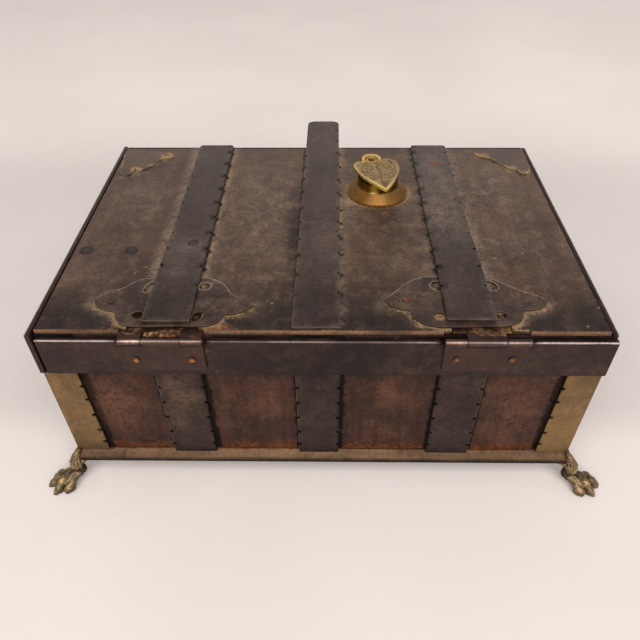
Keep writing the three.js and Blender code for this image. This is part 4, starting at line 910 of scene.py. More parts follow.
# ------------------------------------------------------------------------------------------------ hinges
for n in nodes:
    if n.startswith(("hinge_body_leaf", "hinge_lid_leaf")):
        o = skin(n, M["hinge"], 0.15, 2, (1.2, 0.8, 0.8))
        P = points(o)
        e = edge_field(o, n, angle=45)
        z = P[:, 2]
        w1 = fnoise(P, 5, 91) - 0.5
        knuckle = smooth(2.1, 1.75, np.hypot(P[:, 1] + 82.8, z + 0.6)) * (P[:, 1] < -81.0)
        leaf_ = (P[:, 1] < -82.0) & (z < -3.0)
        # painted shade behind the knuckles and on the back of the body leaf
        dark = np.where(P[:, 1] > -81, 0.35, np.where(leaf_, 0.28, 0.05)) + 0.3 * w1
        dark = np.maximum(dark, 0.85 * leaf_ * smooth(-82.9, -82.4, P[:, 1]))
        # painted highlight along the roundest part of the knuckles, where it faces the hinge side
        turn = np.degrees(np.arctan2(z + 0.6, -(P[:, 1] + 82.8)))
        knuckle_highlight = knuckle * np.exp(-(((turn - 38) / 17.0) ** 2)) * spots(P, (-77, -82.8, 0.6, 6.0, 9, 9, 1.1), (-52, -82.8, 0.6, 5, 9, 9, 0.35), (-64, -82.8, 0.6, 9, 9, 9, 0.45), (54, -82.8, 0.6, 6, 9, 9, 0.6), (66, -82.8, 0.6, 10, 9, 9, 0.35), (79, -82.8, 0.6, 6, 9, 9, 0.5))
        # painted shade on the knuckles' tops, and dark joints between them
        dark = dark + 0.45 * knuckle * smooth(70, 95, turn)
        for x in (-72.4, -56.8, 58.6, 74.3):
            dark = np.maximum(dark, knuckle * smooth(0.5, 0.15, np.abs(P[:, 0] - x)))
        rust = spots(P, (-76, -82, 1.0, 7, 2.0, 2, 0.3), (-51, -82, 1.0, 5, 2.0, 2, 0.55), (-63, -83, -2.4, 12, 2, 1.0, 0.5), (66, -83, -16, 18, 2, 2.0, 0.35), (-64, -83, -16.6, 16, 2, 1.2, 0.45))
        settled = ((P[:, 1] > -81.3) & (z > 0.9)) * (0.42 + 1.1 * w1) * (1.0 if n.startswith("hinge_lid") else 0.0)
        paint(o, edge=e * 0.95, rust=np.clip(rust, 0, 1), dark=np.clip(dark, 0, 1), dust=np.clip(settled, 0, 1), patch=0 * z, lite=np.clip(knuckle_highlight * (0.8 + w1), 0, 1))
    if n.startswith("hinge_rivet"):
        o = skin(n, M["rusty"], 0.12, 2, (0.5, None, 0.5))
        P = points(o)
        mid_ = (P.max(0) + P.min(0)) / 2
        r_ = np.hypot(P[:, 0] - mid_[0], P[:, 2] - mid_[2])
        w1 = fnoise(P, 1.3, 93) - 0.5
        # dark about the rim of each head, a painted highlight at its middle, stronger on the left hinge
        paint(o, dark=np.clip(0.75 * smooth(0.9, 1.7, r_ + 1.4 * w1), 0, 0.85), lite=np.clip(smooth(1.1, 0.3, r_ + 1.8 * w1) * (0.9 if "left" in n else 0.25), 0, 1), rust=0 * r_, dust=0 * r_, patch=0 * r_, edge=0 * r_)


# ------------------------------------------------------------------------------------------------ turned and cast pieces
def lathe(name, cx, cy, profile, n=120, closed=True, angle=35):
    """a closed profile of (radius, z) in datum mm turned about the vertical through (cx, cy)"""
    bm = bmesh.new()
    rings = []
    for r, z in profile:
        if r < 1e-6:
            rings.append([bm.verts.new(Vector(((cx + SHIFT[0]) * MM, (cy + SHIFT[1]) * MM, (z + SHIFT[2]) * MM)))] * n)
            continue
        ring = []
        for k in range(n):
            a = 2 * math.pi * k / n
            ring.append(bm.verts.new(Vector(((cx + r * math.cos(a) + SHIFT[0]) * MM, (cy + r * math.sin(a) + SHIFT[1]) * MM, (z + SHIFT[2]) * MM))))
        rings.append(ring)
    m = len(rings)
    for i in range(m if closed else m - 1):
        a, b = rings[i], rings[(i + 1) % m]
        for k in range(n):
            q = [a[k], a[(k + 1) % n], b[(k + 1) % n], b[k]]
            u = []
            for v in q:
                if v not in u:
                    u.append(v)
            if len(u) >= 3:
                bm.faces.new(u)
    return to_object(bm, name, angle)


prof = [(6.6, -0.6), (8.0, -0.6), (8.0, 2.05), (16.0, 2.05), (16.0, 2.7), (15.6, 3.0), (15.2, 3.0), (15.0, 2.86)]
for k in range(1, 15):  # the turned cone, with fine tool marks
    t = k / 15
    r_, z_ = 14.9 + (10.9 - 14.9) * t, 3.1 + (6.7 - 3.1) * t
    prof.append((r_ + 0.03, z_ + 0.03))
    prof.append((r_ - 0.10, z_ + 0.035))
prof += [(10.9, 6.75), (10.62, 7.0), (10.5, 7.4), (10.5, 8.6), (10.5, 9.8), (10.5, 10.9), (10.5, 11.8), (10.5, 12.6), (10.5, 13.0), (10.32, 13.42), (9.95, 13.6), (9.2, 13.55), (8.9, 13.6), (7.1, 13.6), (6.75, 13.45), (6.6, 13.1)]
o = lathe("key_barrel_fine", BOSS[0], BOSS[1], prof, 128, angle=40)
adopt(o, "key_barrel", M["gold"])
P = points(o)
R = np.hypot(P[:, 0] - BOSS[0], P[:, 1] - BOSS[1])
az = np.degrees(np.arctan2(P[:, 1] - BOSS[1], P[:, 0] - BOSS[0]))
z = P[:, 2]
w1 = fnoise(P, 5, 101) - 0.5
flange = smooth(11.2, 10.8, -R * 0 + (21.9 - R)) * (z > 2.2)
flange = ((R > 10.75) & (z > 2.2)).astype(float)
barrel_side = ((R > 10.3) & (R < 10.7) & (z > 6.9)).astype(float)


def around(centre, width):
    d = (az - centre + 180) % 360 - 180
    return np.exp(-((d / width) ** 2))


# painted shade and painted reflections on the barrel: dark under the cover's overhang, in bands round it, in the crease
# at its foot, on the far left of the flange and in the bore; a painted highlight band on the barrel side and a faint
# painted sheen on the flange
dark = barrel_side * (0.92 * smooth(10.4, 12.4, z) + 0.9 * around(-79, 15) + 0.55 * around(-45, 16) + 0.45 * around(-150, 22) + 0.3 * around(-122, 8)) + 0.75 * smooth(0.45, 0.0, np.abs(R - 10.75)) * (z < 7.3)
dark = dark + 0.25 * flange * around(-165, 40) + np.where(R < 7.0, 0.9, 0)
paint(
    o,
    dark=np.clip(dark + 0.15 * w1, 0, 0.92),
    patch=np.clip(flange * (1.5 + 0.1 * around(180, 60) - 0.55 * around(-66, 26) - 0.35 * smooth(12.4, 11.2, R) + 0.8 * w1), 0, 1),
    rust=0 * z,
    dust=flange * smooth(0.5, 0.0, np.abs(R - 14.95)) * 0.5,
    edge=smooth(0.5, 0.1, np.abs(R - 15.55)) * smooth(2.2, 2.8, z) * 0.97 + 0.9 * smooth(0.5, 0.1, np.abs(R - 10.05)) * (z > 13.3),
    lite=np.clip(barrel_side * 0.75 * around(-104, 9) * smooth(12.0, 10.5, z) + 0.06 * flange * around(-72, 18), 0, 1),
)

Z1 = 16.0
head = [(0.0, 8.0), (1.03, 8.0), (1.03, Z1 - 0.45), (2.25, Z1 - 0.45), (2.3, Z1 - 0.32), (2.2, Z1 - 0.12), (1.9, Z1 + 0.02), (1.4, Z1 + 0.12), (0.8, Z1 + 0.18), (0.0, Z1 + 0.2)]
o = lathe("cover_pivot_fine", PIVOT[0], PIVOT[1], head, 40, closed=False, angle=50)
adopt(o, "cover_pivot", M["gold"])
P = points(o)
paint(o, dark=0.3 + 0 * P[:, 0], patch=0 * P[:, 0], rust=0 * P[:, 0], dust=0 * P[:, 0], edge=0 * P[:, 0], lite=0 * P[:, 0])


# the cover's outline, as in the CAD, relative to the barrel's middle
def catmull(pts, per):
    """centripetal curve through the points, like the one the CAD draws"""
    p = [np.array(q, float) for q in pts]
    p = [2 * p[0] - p[1]] + p + [2 * p[-1] - p[-2]]
    out = []
    for i in range(1, len(p) - 2):
        t = [0.0]
        for j in range(3):
            t.append(t[-1] + max(np.linalg.norm(p[i + j] - p[i + j - 1]) ** 0.5, 1e-6))
        for k in range(per):
            x = t[1] + (t[2] - t[1]) * k / per
            a1 = (t[1] - x) / (t[1] - t[0]) * p[i - 1] + (x - t[0]) / (t[1] - t[0]) * p[i]
            a2 = (t[2] - x) / (t[2] - t[1]) * p[i] + (x - t[1]) / (t[2] - t[1]) * p[i + 1]
            a3 = (t[3] - x) / (t[3] - t[2]) * p[i + 1] + (x - t[2]) / (t[3] - t[2]) * p[i + 2]
            b1 = (t[2] - x) / (t[2] - t[0]) * a1 + (x - t[0]) / (t[2] - t[0]) * a2
            b2 = (t[3] - x) / (t[3] - t[1]) * a2 + (x - t[1]) / (t[3] - t[1]) * a3
            out.append((t[2] - x) / (t[2] - t[1]) * b1 + (x - t[1]) / (t[2] - t[1]) * b2)
    out.append(p[-2])
    return out


bm = cad_bm("heart_cover")
soften(bm, 0.32, 3)
slice_axis(bm, 0, 0.42)
slice_axis(bm, 1, 0.42)
o = to_object(bm, "heart_cover_fine", 34)
P = points(o)
A, B = sharp_segments("heart_cover", 35, plan=True)
plate = []
lip = []
for a_, b_ in zip(A, B):
    mid = (a_ + b_) / 2
    (lip if np.hypot(*(mid - PIVOT)) < 5.4 and mid[1] > PIVOT[1] - 0.8 else plate).append((a_, b_))
plate = [(a_, b_) for a_, b_ in plate if np.hypot(*((a_ + b_) / 2 - np.array(PIVOT))) > 3.2]
d_rim = seg_dist(P[:, :2], np.array([a_ for a_, _ in plate]), np.array([b_ for _, b_ in plate]))
local = P[:, :2] - np.array(BOSS)
# the sunk seat of the pivot is filled up flush with the face
r_p = np.hypot(P[:, 0] - PIVOT[0], P[:, 1] - PIVOT[1])
seat = (r_p < 2.95) & (P[:, 2] > Z1 - 0.7) & (P[:, 2] < Z1 - 0.02)
fill = np.ones(len(P))
P[:, 2] = np.where(seat, P[:, 2] + (Z1 - P[:, 2]) * fill, P[:, 2])
# engraving: a stem with scrolls and leaves on each side, of no maker's pattern
lines = []


def spiral(cx, cy, r0, r1, a0, turns, n=26):
    pts_ = []
    for k in range(n + 1):
        t = k / n
        r_ = r0 + (r1 - r0) * t
        a_ = math.radians(a0) + turns * 2 * math.pi * t
        pts_.append((cx + r_ * math.cos(a_), cy + r_ * math.sin(a_)))
    lines.append(pts_)


def leaf(x0, y0, x1, y1, belly):
    a_ = np.array((x0, y0))
    b_ = np.array((x1, y1))
    m_ = (b_ - a_)[::-1] * (1, -1) * belly
    for s_ in (1, -0.35):
        lines.append([tuple((1 - t) ** 2 * a_ + 2 * t * (1 - t) * ((a_ + b_) / 2 + m_ * s_) + t * t * b_) for t in np.linspace(0, 1, 9)])


spiral(4.9, 1.6, 4.2, 0.5, -80, 1.55)
spiral(-5.4, -0.4, 4.3, 0.5, -60, -1.6)
spiral(4.2, -7.6, 3.1, 0.5, 70, -1.45)
spiral(-2.4, -9.2, 3.0, 0.5, 110, 1.4)
spiral(1.9, -14.4, 1.9, 0.4, 40, -1.3)
spiral(-0.2, 4.6, 2.4, 0.4, -100, 1.3)
leaf(2.2, -19.6, 0.6, -12.2, 0.22)
leaf(2.6, -18.4, 4.6, -12.4, -0.25)
leaf(0.6, -11.8, 0.4, -4.2, 0.16)
leaf(-6.6, -8.6, -9.6, -3.0, 0.22)
leaf(7.4, -9.4, 8.6, -3.2, -0.18)
leaf(0.4, -4.0, -1.2, 1.6, 0.2)
leaf(7.6, 4.4, 5.6, 8.0, 0.2)
leaf(-8.6, 4.4, -4.6, 5.0, 0.2)
sa, sb = [], []
for l_ in lines:
    sa += l_[:-1]
    sb += l_[1:]
d_line = seg_dist(local, np.array(sa), np.array(sb))
on_top = (np.abs(P[:, 2] - Z1) < 0.02) & (r_p > 3.1)
field = smooth(1.15, 1.7, d_rim) * on_top
cut_ = smooth(0.55, 0.1, d_line) * field
chase = 0.5 * (fnoise(P, 1.3, 111) - 0.5)
P[:, 2] -= field * 0.14 + cut_ * 0.26 + field * (0.12 * chase)
put_points(o, P)
o.data.shade_smooth()
o.data.set_sharp_from_angle(angle=math.radians(48))
adopt(o, "heart_cover", M["cover"])
side_ = smooth(0.15, 0.6, Z1 - P[:, 2]) * (d_rim < 0.5)
toward = np.exp(-(((local[:, 0] - 1.0) / 7.0) ** 2 + ((local[:, 1] + 17.0) / 9.0) ** 2))
rim_ = smooth(1.25, 0.35, d_rim) * (P[:, 2] > Z1 - 0.6) * (r_p > 3.3)
left_side = smooth(2.0, -3.0, local[:, 0] * 1.2 + 0.2 * local[:, 1])
lip_ = smooth(0.1, 0.5, P[:, 2] - Z1)
w1 = fnoise(P, 2.5, 113) - 0.5
# painted shade on the side faces away from the tip; painted highlights on the rim and sides near the tip, on the raised
# lip, the seat and the front-left rim
paint(
    o,
    dark=np.clip(cut_ * 0.5 + 0.16 * field + side_ * np.clip(0.9 - 0.9 * toward, 0, 1) * smooth(0.7, 1.2, Z1 - P[:, 2]) + 0.6 * seat * (1 - fill) + 0.3 * w1 * field, 0, 0.92),
    patch=0 * w1,
    rust=0 * w1,
    dust=0 * w1,
    edge=np.clip(rim_ * (0.74 + 0.5 * w1 + 0.12 * toward), 0, 1),
    lite=np.clip(rim_ * toward * 1.1 + side_ * toward * 0.8 + 0.5 * lip_ * (0.9 + w1) + 0.2 * seat + 0.35 * rim_ * left_side, 0, 1),
)

# rust scale lying in the lid's notch, between the outer knuckles of the left hinge
bm = bmesh.new()
nx, ny = 40, 6
grid = []
for i in range(nx + 1):
    row = []
    for j in range(ny + 1):
        x = -72.0 + 15.0 * i / nx
        y = -80.95 + 2.6 * j / ny
        row.append((x, y))
    grid.append(row)
Q = np.array([(x, y, 0) for row in grid for x, y in row])
hgt = 0.75 + 0.75 * (fnoise(Q, 2.2, 121) - 0.35) - 0.5 * smooth(0.5, 0.0, Q[:, 1] + 80.95) - 0.4 * smooth(1.0, 0.0, np.minimum(Q[:, 0] + 72.0, -57.0 - Q[:, 0]))
hgt = np.clip(hgt, 0.15, 1.5)
top_v = [bm.verts.new(Vector(((q[0]) * MM, (q[1] + SHIFT[1]) * MM, (h_ + SHIFT[2]) * MM))) for q, h_ in zip(Q, hgt)]
low_v = [bm.verts.new(Vector(((q[0]) * MM, (q[1] + SHIFT[1]) * MM, (0.05 + SHIFT[2]) * MM))) for q in Q]


def at_(i, j):
    return i * (ny + 1) + j


for i in range(nx):
    for j in range(ny):
        bm.faces.new([top_v[at_(i, j)], top_v[at_(i + 1, j)], top_v[at_(i + 1, j + 1)], top_v[at_(i, j + 1)]])
        bm.faces.new([low_v[at_(i, j)], low_v[at_(i, j + 1)], low_v[at_(i + 1, j + 1)], low_v[at_(i + 1, j)]])
for i in range(nx):
    for j in (0, ny):
        bm.faces.new([top_v[at_(i, j)], low_v[at_(i, j)], low_v[at_(i + 1, j)], top_v[at_(i + 1, j)]])
for j in range(ny):
    for i in (0, nx):
        bm.faces.new([top_v[at_(i, j)], low_v[at_(i, j)], low_v[at_(i, j + 1)], top_v[at_(i, j + 1)]])
o = to_object(bm, "hinge_notch_scale", 40)
o.data.materials.append(M["rusty"])
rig.ride(o, "lid")
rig.slot(o, "rusty_iron")
P = points(o)
n1 = fnoise(P, 1.8, 123)
paint(o, dark=np.clip(1.5 * (n1 - 0.42) + 0.4 * smooth(-65, -58, P[:, 0]), 0, 0.9), dust=np.clip(0.75 * smooth(0.55, 0.4, n1) * smooth(-60, -66, P[:, 0]), 0, 1), patch=0 * n1, rust=0 * n1, edge=0 * n1, lite=np.clip(2.2 * (0.38 - n1), 0, 0.7))


# ------------------------------------------------------------------------------------------------ paw feet
def blob(store, c, r, axis=None, spin=0.0):
    """an ellipsoid at c with radii r; its first radius lies along axis"""
    store.append((np.array(c, float), np.array(r, float), np.array(axis if axis is not None else (1, 0, 0), float), spin))


def strand(store, pts, radii, n=9):
    """a tapering lock: a row of balls along a smooth curve"""
    c = catmull(pts, n)
    m = len(c)
    rr = np.interp(np.linspace(0, 1, m), np.linspace(0, 1, len(radii)), radii)
    for q, r_ in zip(c, rr):
        store.append((np.array(q, float), np.array((r_, r_, r_)), np.array((1.0, 0, 0)), 0.0))


ICO = None


def ball_mesh():
    global ICO
    if ICO is None:
        b_ = bmesh.new()
        bmesh.ops.create_icosphere(b_, subdivisions=3, radius=1.0)
        b_.verts.ensure_lookup_table()
        ICO = (np.array([v.co[:] for v in b_.verts]), [[v.index for v in f.verts] for f in b_.faces])
        b_.free()
    return ICO


def paw(node, sx, sy, degrees, out):
    a0 = math.radians(degrees)
    c, q = math.cos(a0), math.sin(a0)
    shapes = []
    # haunch, wrapped in locks of fur
    for d, z_, r_, w_ in ((-4.2, -75.9, 0.8, 0.7), (-3.7, -76.8, 1.15, 1.1), (-3.1, -77.8, 1.6, 1.5), (-2.5, -79.0, 2.05, 1.9), (-2.0, -80.3, 2.45, 2.2), (-1.6, -81.7, 2.7, 2.45), (-1.3, -83.0, 2.9, 2.65)):
        blob(shapes, (d + out * 0.7, 0, z_), (w_, r_ * 0.95, 1.3))
    blob(shapes, (-1.1 + out, 0, -84.4), (2.8, 3.1, 1.6))
    for s0, s1, s2, tip, rad in ((0.2, -0.7, -0.5, -85.9, 1.0), (1.1, 1.7, 2.1, -85.7, 1.0), (-1.0, -2.0, -2.4, -85.7, 1.0), (0.7, 0.9, 0.8, -85.8, 0.95)):
        f0 = 0.8 if abs(s2) < 1.5 else 0.2
        strand(
            shapes,
            [(-3.2 + out * 0.5 + f0, s0, -77.0), (-1.5 + out * 0.8 + f0, s1 * 0.8, -80.0), (0.1 + out + f0 * 0.8, s1, -82.8), (1.2 + out + f0 * 0.6, s2, -84.7), (1.0 + out + f0 * 0.4, s2 * 1.04, tip)],
            (0.45, 0.7, rad * 0.95, rad * 0.9, 0.4),
        )
    for s_, d_ in ((3.1, -1.2), (-3.1, -1.2), (2.8, 0.2), (-2.8, 0.2)):
        strand(shapes, [(d_ - 1.1 + out * 0.6, s_ * 0.6, -79.8), (d_ - 0.5 + out, s_ * 0.88, -82.4), (d_ + out, s_ * 0.98, -84.7), (d_ - 0.3 + out, s_ * 0.94, -86.0)], (0.35, 0.75, 0.9, 0.4))
    # curls over the knee
    for s_, d_, z_, r_ in ((-0.5, 1.9, -85.0, 0.85), (1.5, 1.7, -84.8, 0.85), (2.9, 0.5, -85.0, 0.9), (-2.4, 1.0, -85.1, 0.85)):
        blob(shapes, (d_ + out, s_, z_), (r_, r_, r_ * 1.15))
    # neck and heel
    blob(shapes, (-0.6 + out, 0, -86.6), (2.9, 2.6, 1.4))
    blob(shapes, (-1.0 + out, 0.3, -87.9), (3.0, 2.9, 2.0))
    blob(shapes, (-2.0 + out, 0.8, -89.2), (2.2, 2.8, 2.6))
    blob(shapes, (0.4 + out, 0.5, -90.2), (3.2, 3.3, 2.6))
    # back of the foot, with its sinews
    blob(shapes, (3.2 + out * 0.8, 0.2, -91.0), (4.0, 3.8, 2.9))
    blob(shapes, (6.0 + out * 0.6, 0, -92.0), (4.6, 4.7, 2.9))
    blob(shapes, (8.2 + out * 0.5, 0, -93.4), (4.6, 4.6, 2.3))
    for s_, k_ in ((-2.6, -4.2), (0.3, 1.0), (2.5, 3.6)):
        strand(shapes, [(0.6 + out, s_ * 0.5, -88.4), (3.4 + out * 0.9, s_ * 0.8, -89.1), (6.4 + out * 0.7, (s_ + k_) / 2, -90.4)], (0.8, 1.0, 1.1), 7)
    # four toes: knuckle, pad, blunt claw
    toes = (
        ((7.2 + out, -4.3, -91.9), (9.4 + out * 0.6, -5.1, -93.3), (11.0 + out * 0.4, -5.4, -94.5), 0.95, (2.6, 2.1, 2.2)),
        ((9.4 + out * 2.4, -2.3, -91.4), (12.2 + out * 1.4, -2.8, -93.2), (13.9 + out * 0.9, -3.0, -94.3), 0.98, (2.8, 2.2, 2.2)),
        ((8.8 + out * 0.6, 1.2, -90.9), (11.6 + out * 0.4, 2.3, -93.0), (13.5 + out * 0.2, 2.8, -94.3), 1.03, (3.4, 2.0, 2.0)),
        ((5.0 + out * 0.7, 3.8, -91.9), (7.0 + out * 0.5, 4.9, -93.3), (8.6 + out * 0.3, 5.4, -94.3), 1.1, (2.6, 1.9, 1.9)),
    )
    for root, mid_, tip, r_, first in toes:
        root, mid_, tip = (np.array(v, float) for v in (root, mid_, tip))
        blob(shapes, root, first, mid_ - root)
        blob(shapes, root * 0.45 + mid_ * 0.55, (2.0 * r_, 1.7 * r_, 1.7 * r_), mid_ - root)
        blob(shapes, mid_, (2.2 * r_, 1.85 * r_, 1.85 * r_), tip - mid_)
        blob(shapes, (mid_[0] - 0.2, mid_[1], -94.15), (2.3 * r_, 1.8 * r_, 1.85))
        blob(shapes, mid_ * 0.35 + tip * 0.65, (1.6 * r_, 1.4 * r_, 1.4 * r_), tip - mid_)
        blob(shapes, tip, (1.4 * r_, 1.15 * r_, 1.15 * r_), tip - mid_)
    blob(shapes, (7.1 + out * 0.5, 4.9, -93.3), (3.1, 2.2, 2.3), (1, 0.25, -0.15))
    V0, F0 = ball_mesh()
    verts, faces = [], []

    def world(v):
        d, s_, z_ = v[:, 0], v[:, 1], v[:, 2]
        return np.stack([sx * (122.2 + d * c - s_ * q), sy * (84.05 + d * q + s_ * c), z_], 1)

    for cen, rad, axis, _ in shapes:
        u = axis / np.linalg.norm(axis)
        side = np.cross((0, 0, 1.0), u)
        side = side / (np.linalg.norm(side) or 1)
        up_ = np.cross(u, side)
        v = cen + V0[:, :1] * rad[0] * u + V0[:, 1:2] * rad[1] * side + V0[:, 2:] * rad[2] * up_
        base_i = sum(len(x) for x in verts)
        verts.append(world(v))
        flip = sx * sy < 0
        faces += [[base_i + i for i in (reversed(f) if flip else f)] for f in F0]
    # lug under the base, and the stud that holds it
    bm = bmesh.new()

    def prism(outline_, z0, z1):
        lo_ = [bm.verts.new(Vector((x, y, z0))) for x, y in outline_]
        hi_ = [bm.verts.new(Vector((x, y, z1))) for x, y in outline_]
        bm.faces.new(list(reversed(lo_)))
        bm.faces.new(hi_)
        for i in range(len(lo_)):
            j = (i + 1) % len(lo_)
            bm.faces.new([lo_[i], lo_[j], hi_[j], hi_[i]])

    p0 = np.array((sx * 121.2, sy * 83.05))
    p1 = np.array((sx * 112.0, sy * 74.0))
    ang = math.atan2(*(p1 - p0)[::-1])
    lug = [(p1[0] + 3.1 * math.cos(ang + t), p1[1] + 3.1 * math.sin(ang + t)) for t in np.linspace(-math.pi / 2, math.pi / 2, 14)]
    lug += [(p0[0] + 3.1 * math.cos(ang + t), p0[1] + 3.1 * math.sin(ang + t)) for t in np.linspace(math.pi / 2, 1.5 * math.pi, 14)]
    prism(lug, -84.3, -82.3)
    prism([(p1[0] + 1.3 * math.cos(t), p1[1] + 1.3 * math.sin(t)) for t in np.linspace(0, 2 * math.pi, 24, endpoint=False)], -83.6, -76.35)
    me = bpy.data.meshes.new("tmp_paw")
    bm.to_mesh(me)
    bm.free()
    n0 = len(me.vertices)
    lug_v = [v.co[:] for v in me.vertices]
    lug_f = [list(p_.vertices) for p_ in me.polygons]
    allv = np.concatenate([np.array(lug_v)] + verts)
    allf = lug_f + [[i + n0 for i in f] for f in faces]
    bpy.data.meshes.remove(me)
    me = bpy.data.meshes.new(node + "_raw")
    me.from_pydata([tuple(v) for v in (allv + SHIFT) * MM * 100], [], allf)  # 100 times the size while it is remeshed
    tmp = bpy.data.objects.new(node + "_raw", me)
    bpy.context.scene.collection.objects.link(tmp)
    md = tmp.modifiers.new("voxel", "REMESH")
    md.mode = "VOXEL"
    md.voxel_size = 0.28 * MM * 100
    md.adaptivity = 0
    sm = tmp.modifiers.new("smooth", "SMOOTH")
    sm.factor = 0.5
    sm.iterations = 2
    dg = bpy.context.evaluated_depsgraph_get()
    fine = bpy.data.meshes.new_from_object(tmp.evaluated_get(dg))
    bpy.data.objects.remove(tmp)
    fine.name = node + "_fine"
    o = bpy.data.objects.new(node + "_fine", fine)
    bpy.context.scene.collection.objects.link(o)
    co = np.empty(len(fine.vertices) * 3)
    fine.vertices.foreach_get("co", co)
    P = co.reshape(-1, 3) / (MM * 100) - SHIFT
    lo_, hi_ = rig.box(node)
    lo_ = np.array(lo_) / MM - SHIFT
    hi_ = np.array(hi_) / MM - SHIFT
    # hair grooves on the upper leg, creases on the shank
    d_ = (P[:, 0] * sx - 122.2) * c + (P[:, 1] * sy - 84.05) * q
    s_ = -(P[:, 0] * sx - 122.2) * q + (P[:, 1] * sy - 84.05) * c
    phi = np.arctan2(s_, d_ + 1.2)
    N = np.empty(len(P) * 3, np.float32)
    fine.vertex_normals.foreach_get("vector", N)
    N = N.reshape(-1, 3).astype(float)
    upper = smooth(-86.8, -85.6, P[:, 2]) * smooth(-8, -4.6, d_)
    comb = np.sin(phi * 11 + 1.6 * np.sin(P[:, 2] * 0.55) + P[:, 2] * 0.5)
    toe_zone = smooth(-87.6, -89.5, P[:, 2]) * smooth(0.0, 3.0, d_)
    comb2 = np.sin(s_ * 4.1 + 0.5 * np.sin(d_ * 0.9))
    P = P + N * (0.13 * comb * upper + 0.07 * comb2 * toe_zone)[:, None] + N * (0.10 * (fnoise(P, 1.6, 131) - 0.5))[:, None]
    P = np.clip(P, lo_, hi_)
    fine.vertices.foreach_set("co", ((P + SHIFT) * MM).ravel())
    fine.update()
    fine.shade_smooth()
    # hollows hold dirt and crowns are rubbed bright; painted shade on downward faces and the heel, a dark band at the
    # knee groove, painted highlights on upward faces and at given spots
    e_ = np.empty(len(fine.edges) * 2, np.int64)
    fine.edges.foreach_get("vertices", e_)
    e_ = e_.reshape(-1, 2)
    cnt = np.bincount(e_.ravel(), minlength=len(P)).astype(float)

    def spread(f_):
        out_ = np.zeros_like(f_)
        np.add.at(out_, e_[:, 0], f_[e_[:, 1]])
        np.add.at(out_, e_[:, 1], f_[e_[:, 0]])
        return out_ / (cnt[:, None] if f_.ndim > 1 else cnt)

    fine.vertex_normals.foreach_get("vector", N2 := np.empty(len(P) * 3, np.float32))
    N2 = N2.reshape(-1, 3).astype(float)
    S = P.copy()
    for _ in range(6):
        S = 0.5 * S + 0.5 * spread(S)
    cav = ((S - P) * N2).sum(1)
    for _ in range(3):
        cav = 0.5 * cav + 0.5 * spread(cav)
    hollow = smooth(0.0, 0.075, cav)
    crown = smooth(0.03, 0.14, -cav)
    w1 = fnoise(P, 3.0, 133) - 0.5
    under_ = smooth(0.35, -0.35, N2[:, 2]) * smooth(-85.5, -87.5, P[:, 2])
    groove = np.exp(-(((P[:, 2] + 87.2) / 0.8) ** 2)) * (d_ < 5)
    heel = smooth(1.5, -2.0, d_) * smooth(-85.8, -87.2, P[:, 2])
    F = np.stack([d_, s_, P[:, 2]], 1)
    hollows = spots(F, (3.8 + out, 1.0, -88.8, 2.4, 1.1, 2, 0.7), (5.4 + out, -1.8, -89.4, 2.6, 0.9, 2, 0.6), (4.0 + out, -4.4, -90.6, 4.0, 1.0, 2, 0.5), (9.4 + out, -0.7, -90.6, 2.5, 0.5, 2, 0.6), (8.5 + out, 3.6, -92.2, 3.0, 0.6, 2, 0.7))
    highlight_spots = spots(F, (8.9 + out * 0.6, 1.3, -89.2, 2.4, 1.1, 1.4, 0.6), (7.2 + out * 0.5, 5.2, -91.8, 1.5, 1.4, 1.4, 0.6), (2.6 + out, -0.6, -84.8, 1.2, 1.3, 1.3, 0.9), (2.2 + out, 2.0, -84.6, 1.4, 1.2, 1.3, 0.9), (13.6 + out * 0.2, 2.9, -93.6, 1.2, 1.2, 1.0, 0.4), (-2.0 + out * 0.7, 0.6, -78.0, 1.2, 1.2, 1.4, 0.35))
    top_ = smooth(0.1, 0.8, N2[:, 2])
    adopt(o, node, M["paw"])
    paint(
        o,
        dark=np.clip(1.0 * hollow + 0.75 * under_ + 0.75 * groove + 0.8 * heel + 0.75 * w1 + 0.08 + hollows - 0.3 * crown, 0, 0.96),
        edge=0 * cav,
        lite=np.clip(crown * (0.35 + 0.45 * top_ + 0.9 * w1) * (1 - 0.7 * heel) + highlight_spots * (0.5 + 0.5 * top_ + 0.8 * w1), 0, 0.9),
        rust=0 * cav,
        dust=0 * cav,
        patch=0 * cav,
    )
    return o


for node, sx, sy, degrees, out in (
    ("paw_foot_back_left", -1, -1, 38, 0),
    ("paw_foot_back_right", 1, -1, 29, 0.8),
    ("paw_foot_front_left", -1, 1, 29, 0.8),
    ("paw_foot_front_right", 1, 1, 38, 0),
):
    paw(node, sx, sy, degrees, out)


# ------------------------------------------------------------------------------------------------ parts that keep their CAD shape
def keep(node, material, bevel=0.15):
    o = nodes[node]
    for i in range(len(o.material_slots)):
        o.material_slots[i].material = material
    m = o.modifiers.new("arris", "BEVEL")
    m.width = bevel * MM
    m.segments = 2
    m.limit_method = "ANGLE"
    m.angle_limit = math.radians(40)


replaced = set()
for n, o in nodes.items():
    if bpy.data.objects.get(n + "_fine"):
        replaced.add(n)
for n in nodes:
    if n in replaced:
        continue
    if n.startswith("paw_foot"):
        keep(n, M["paw"])
    elif n in ("key_barrel", "cover_pivot"):
        keep(n, M["gold"])
    elif n == "heart_cover":
        keep(n, M["cover"])
    elif n in ("lock_bolt", "bolt_spring", "key_post") or n.startswith("hinge_pin"):
        keep(n, M["steel"])
    else:
        keep(n, M["inside"])

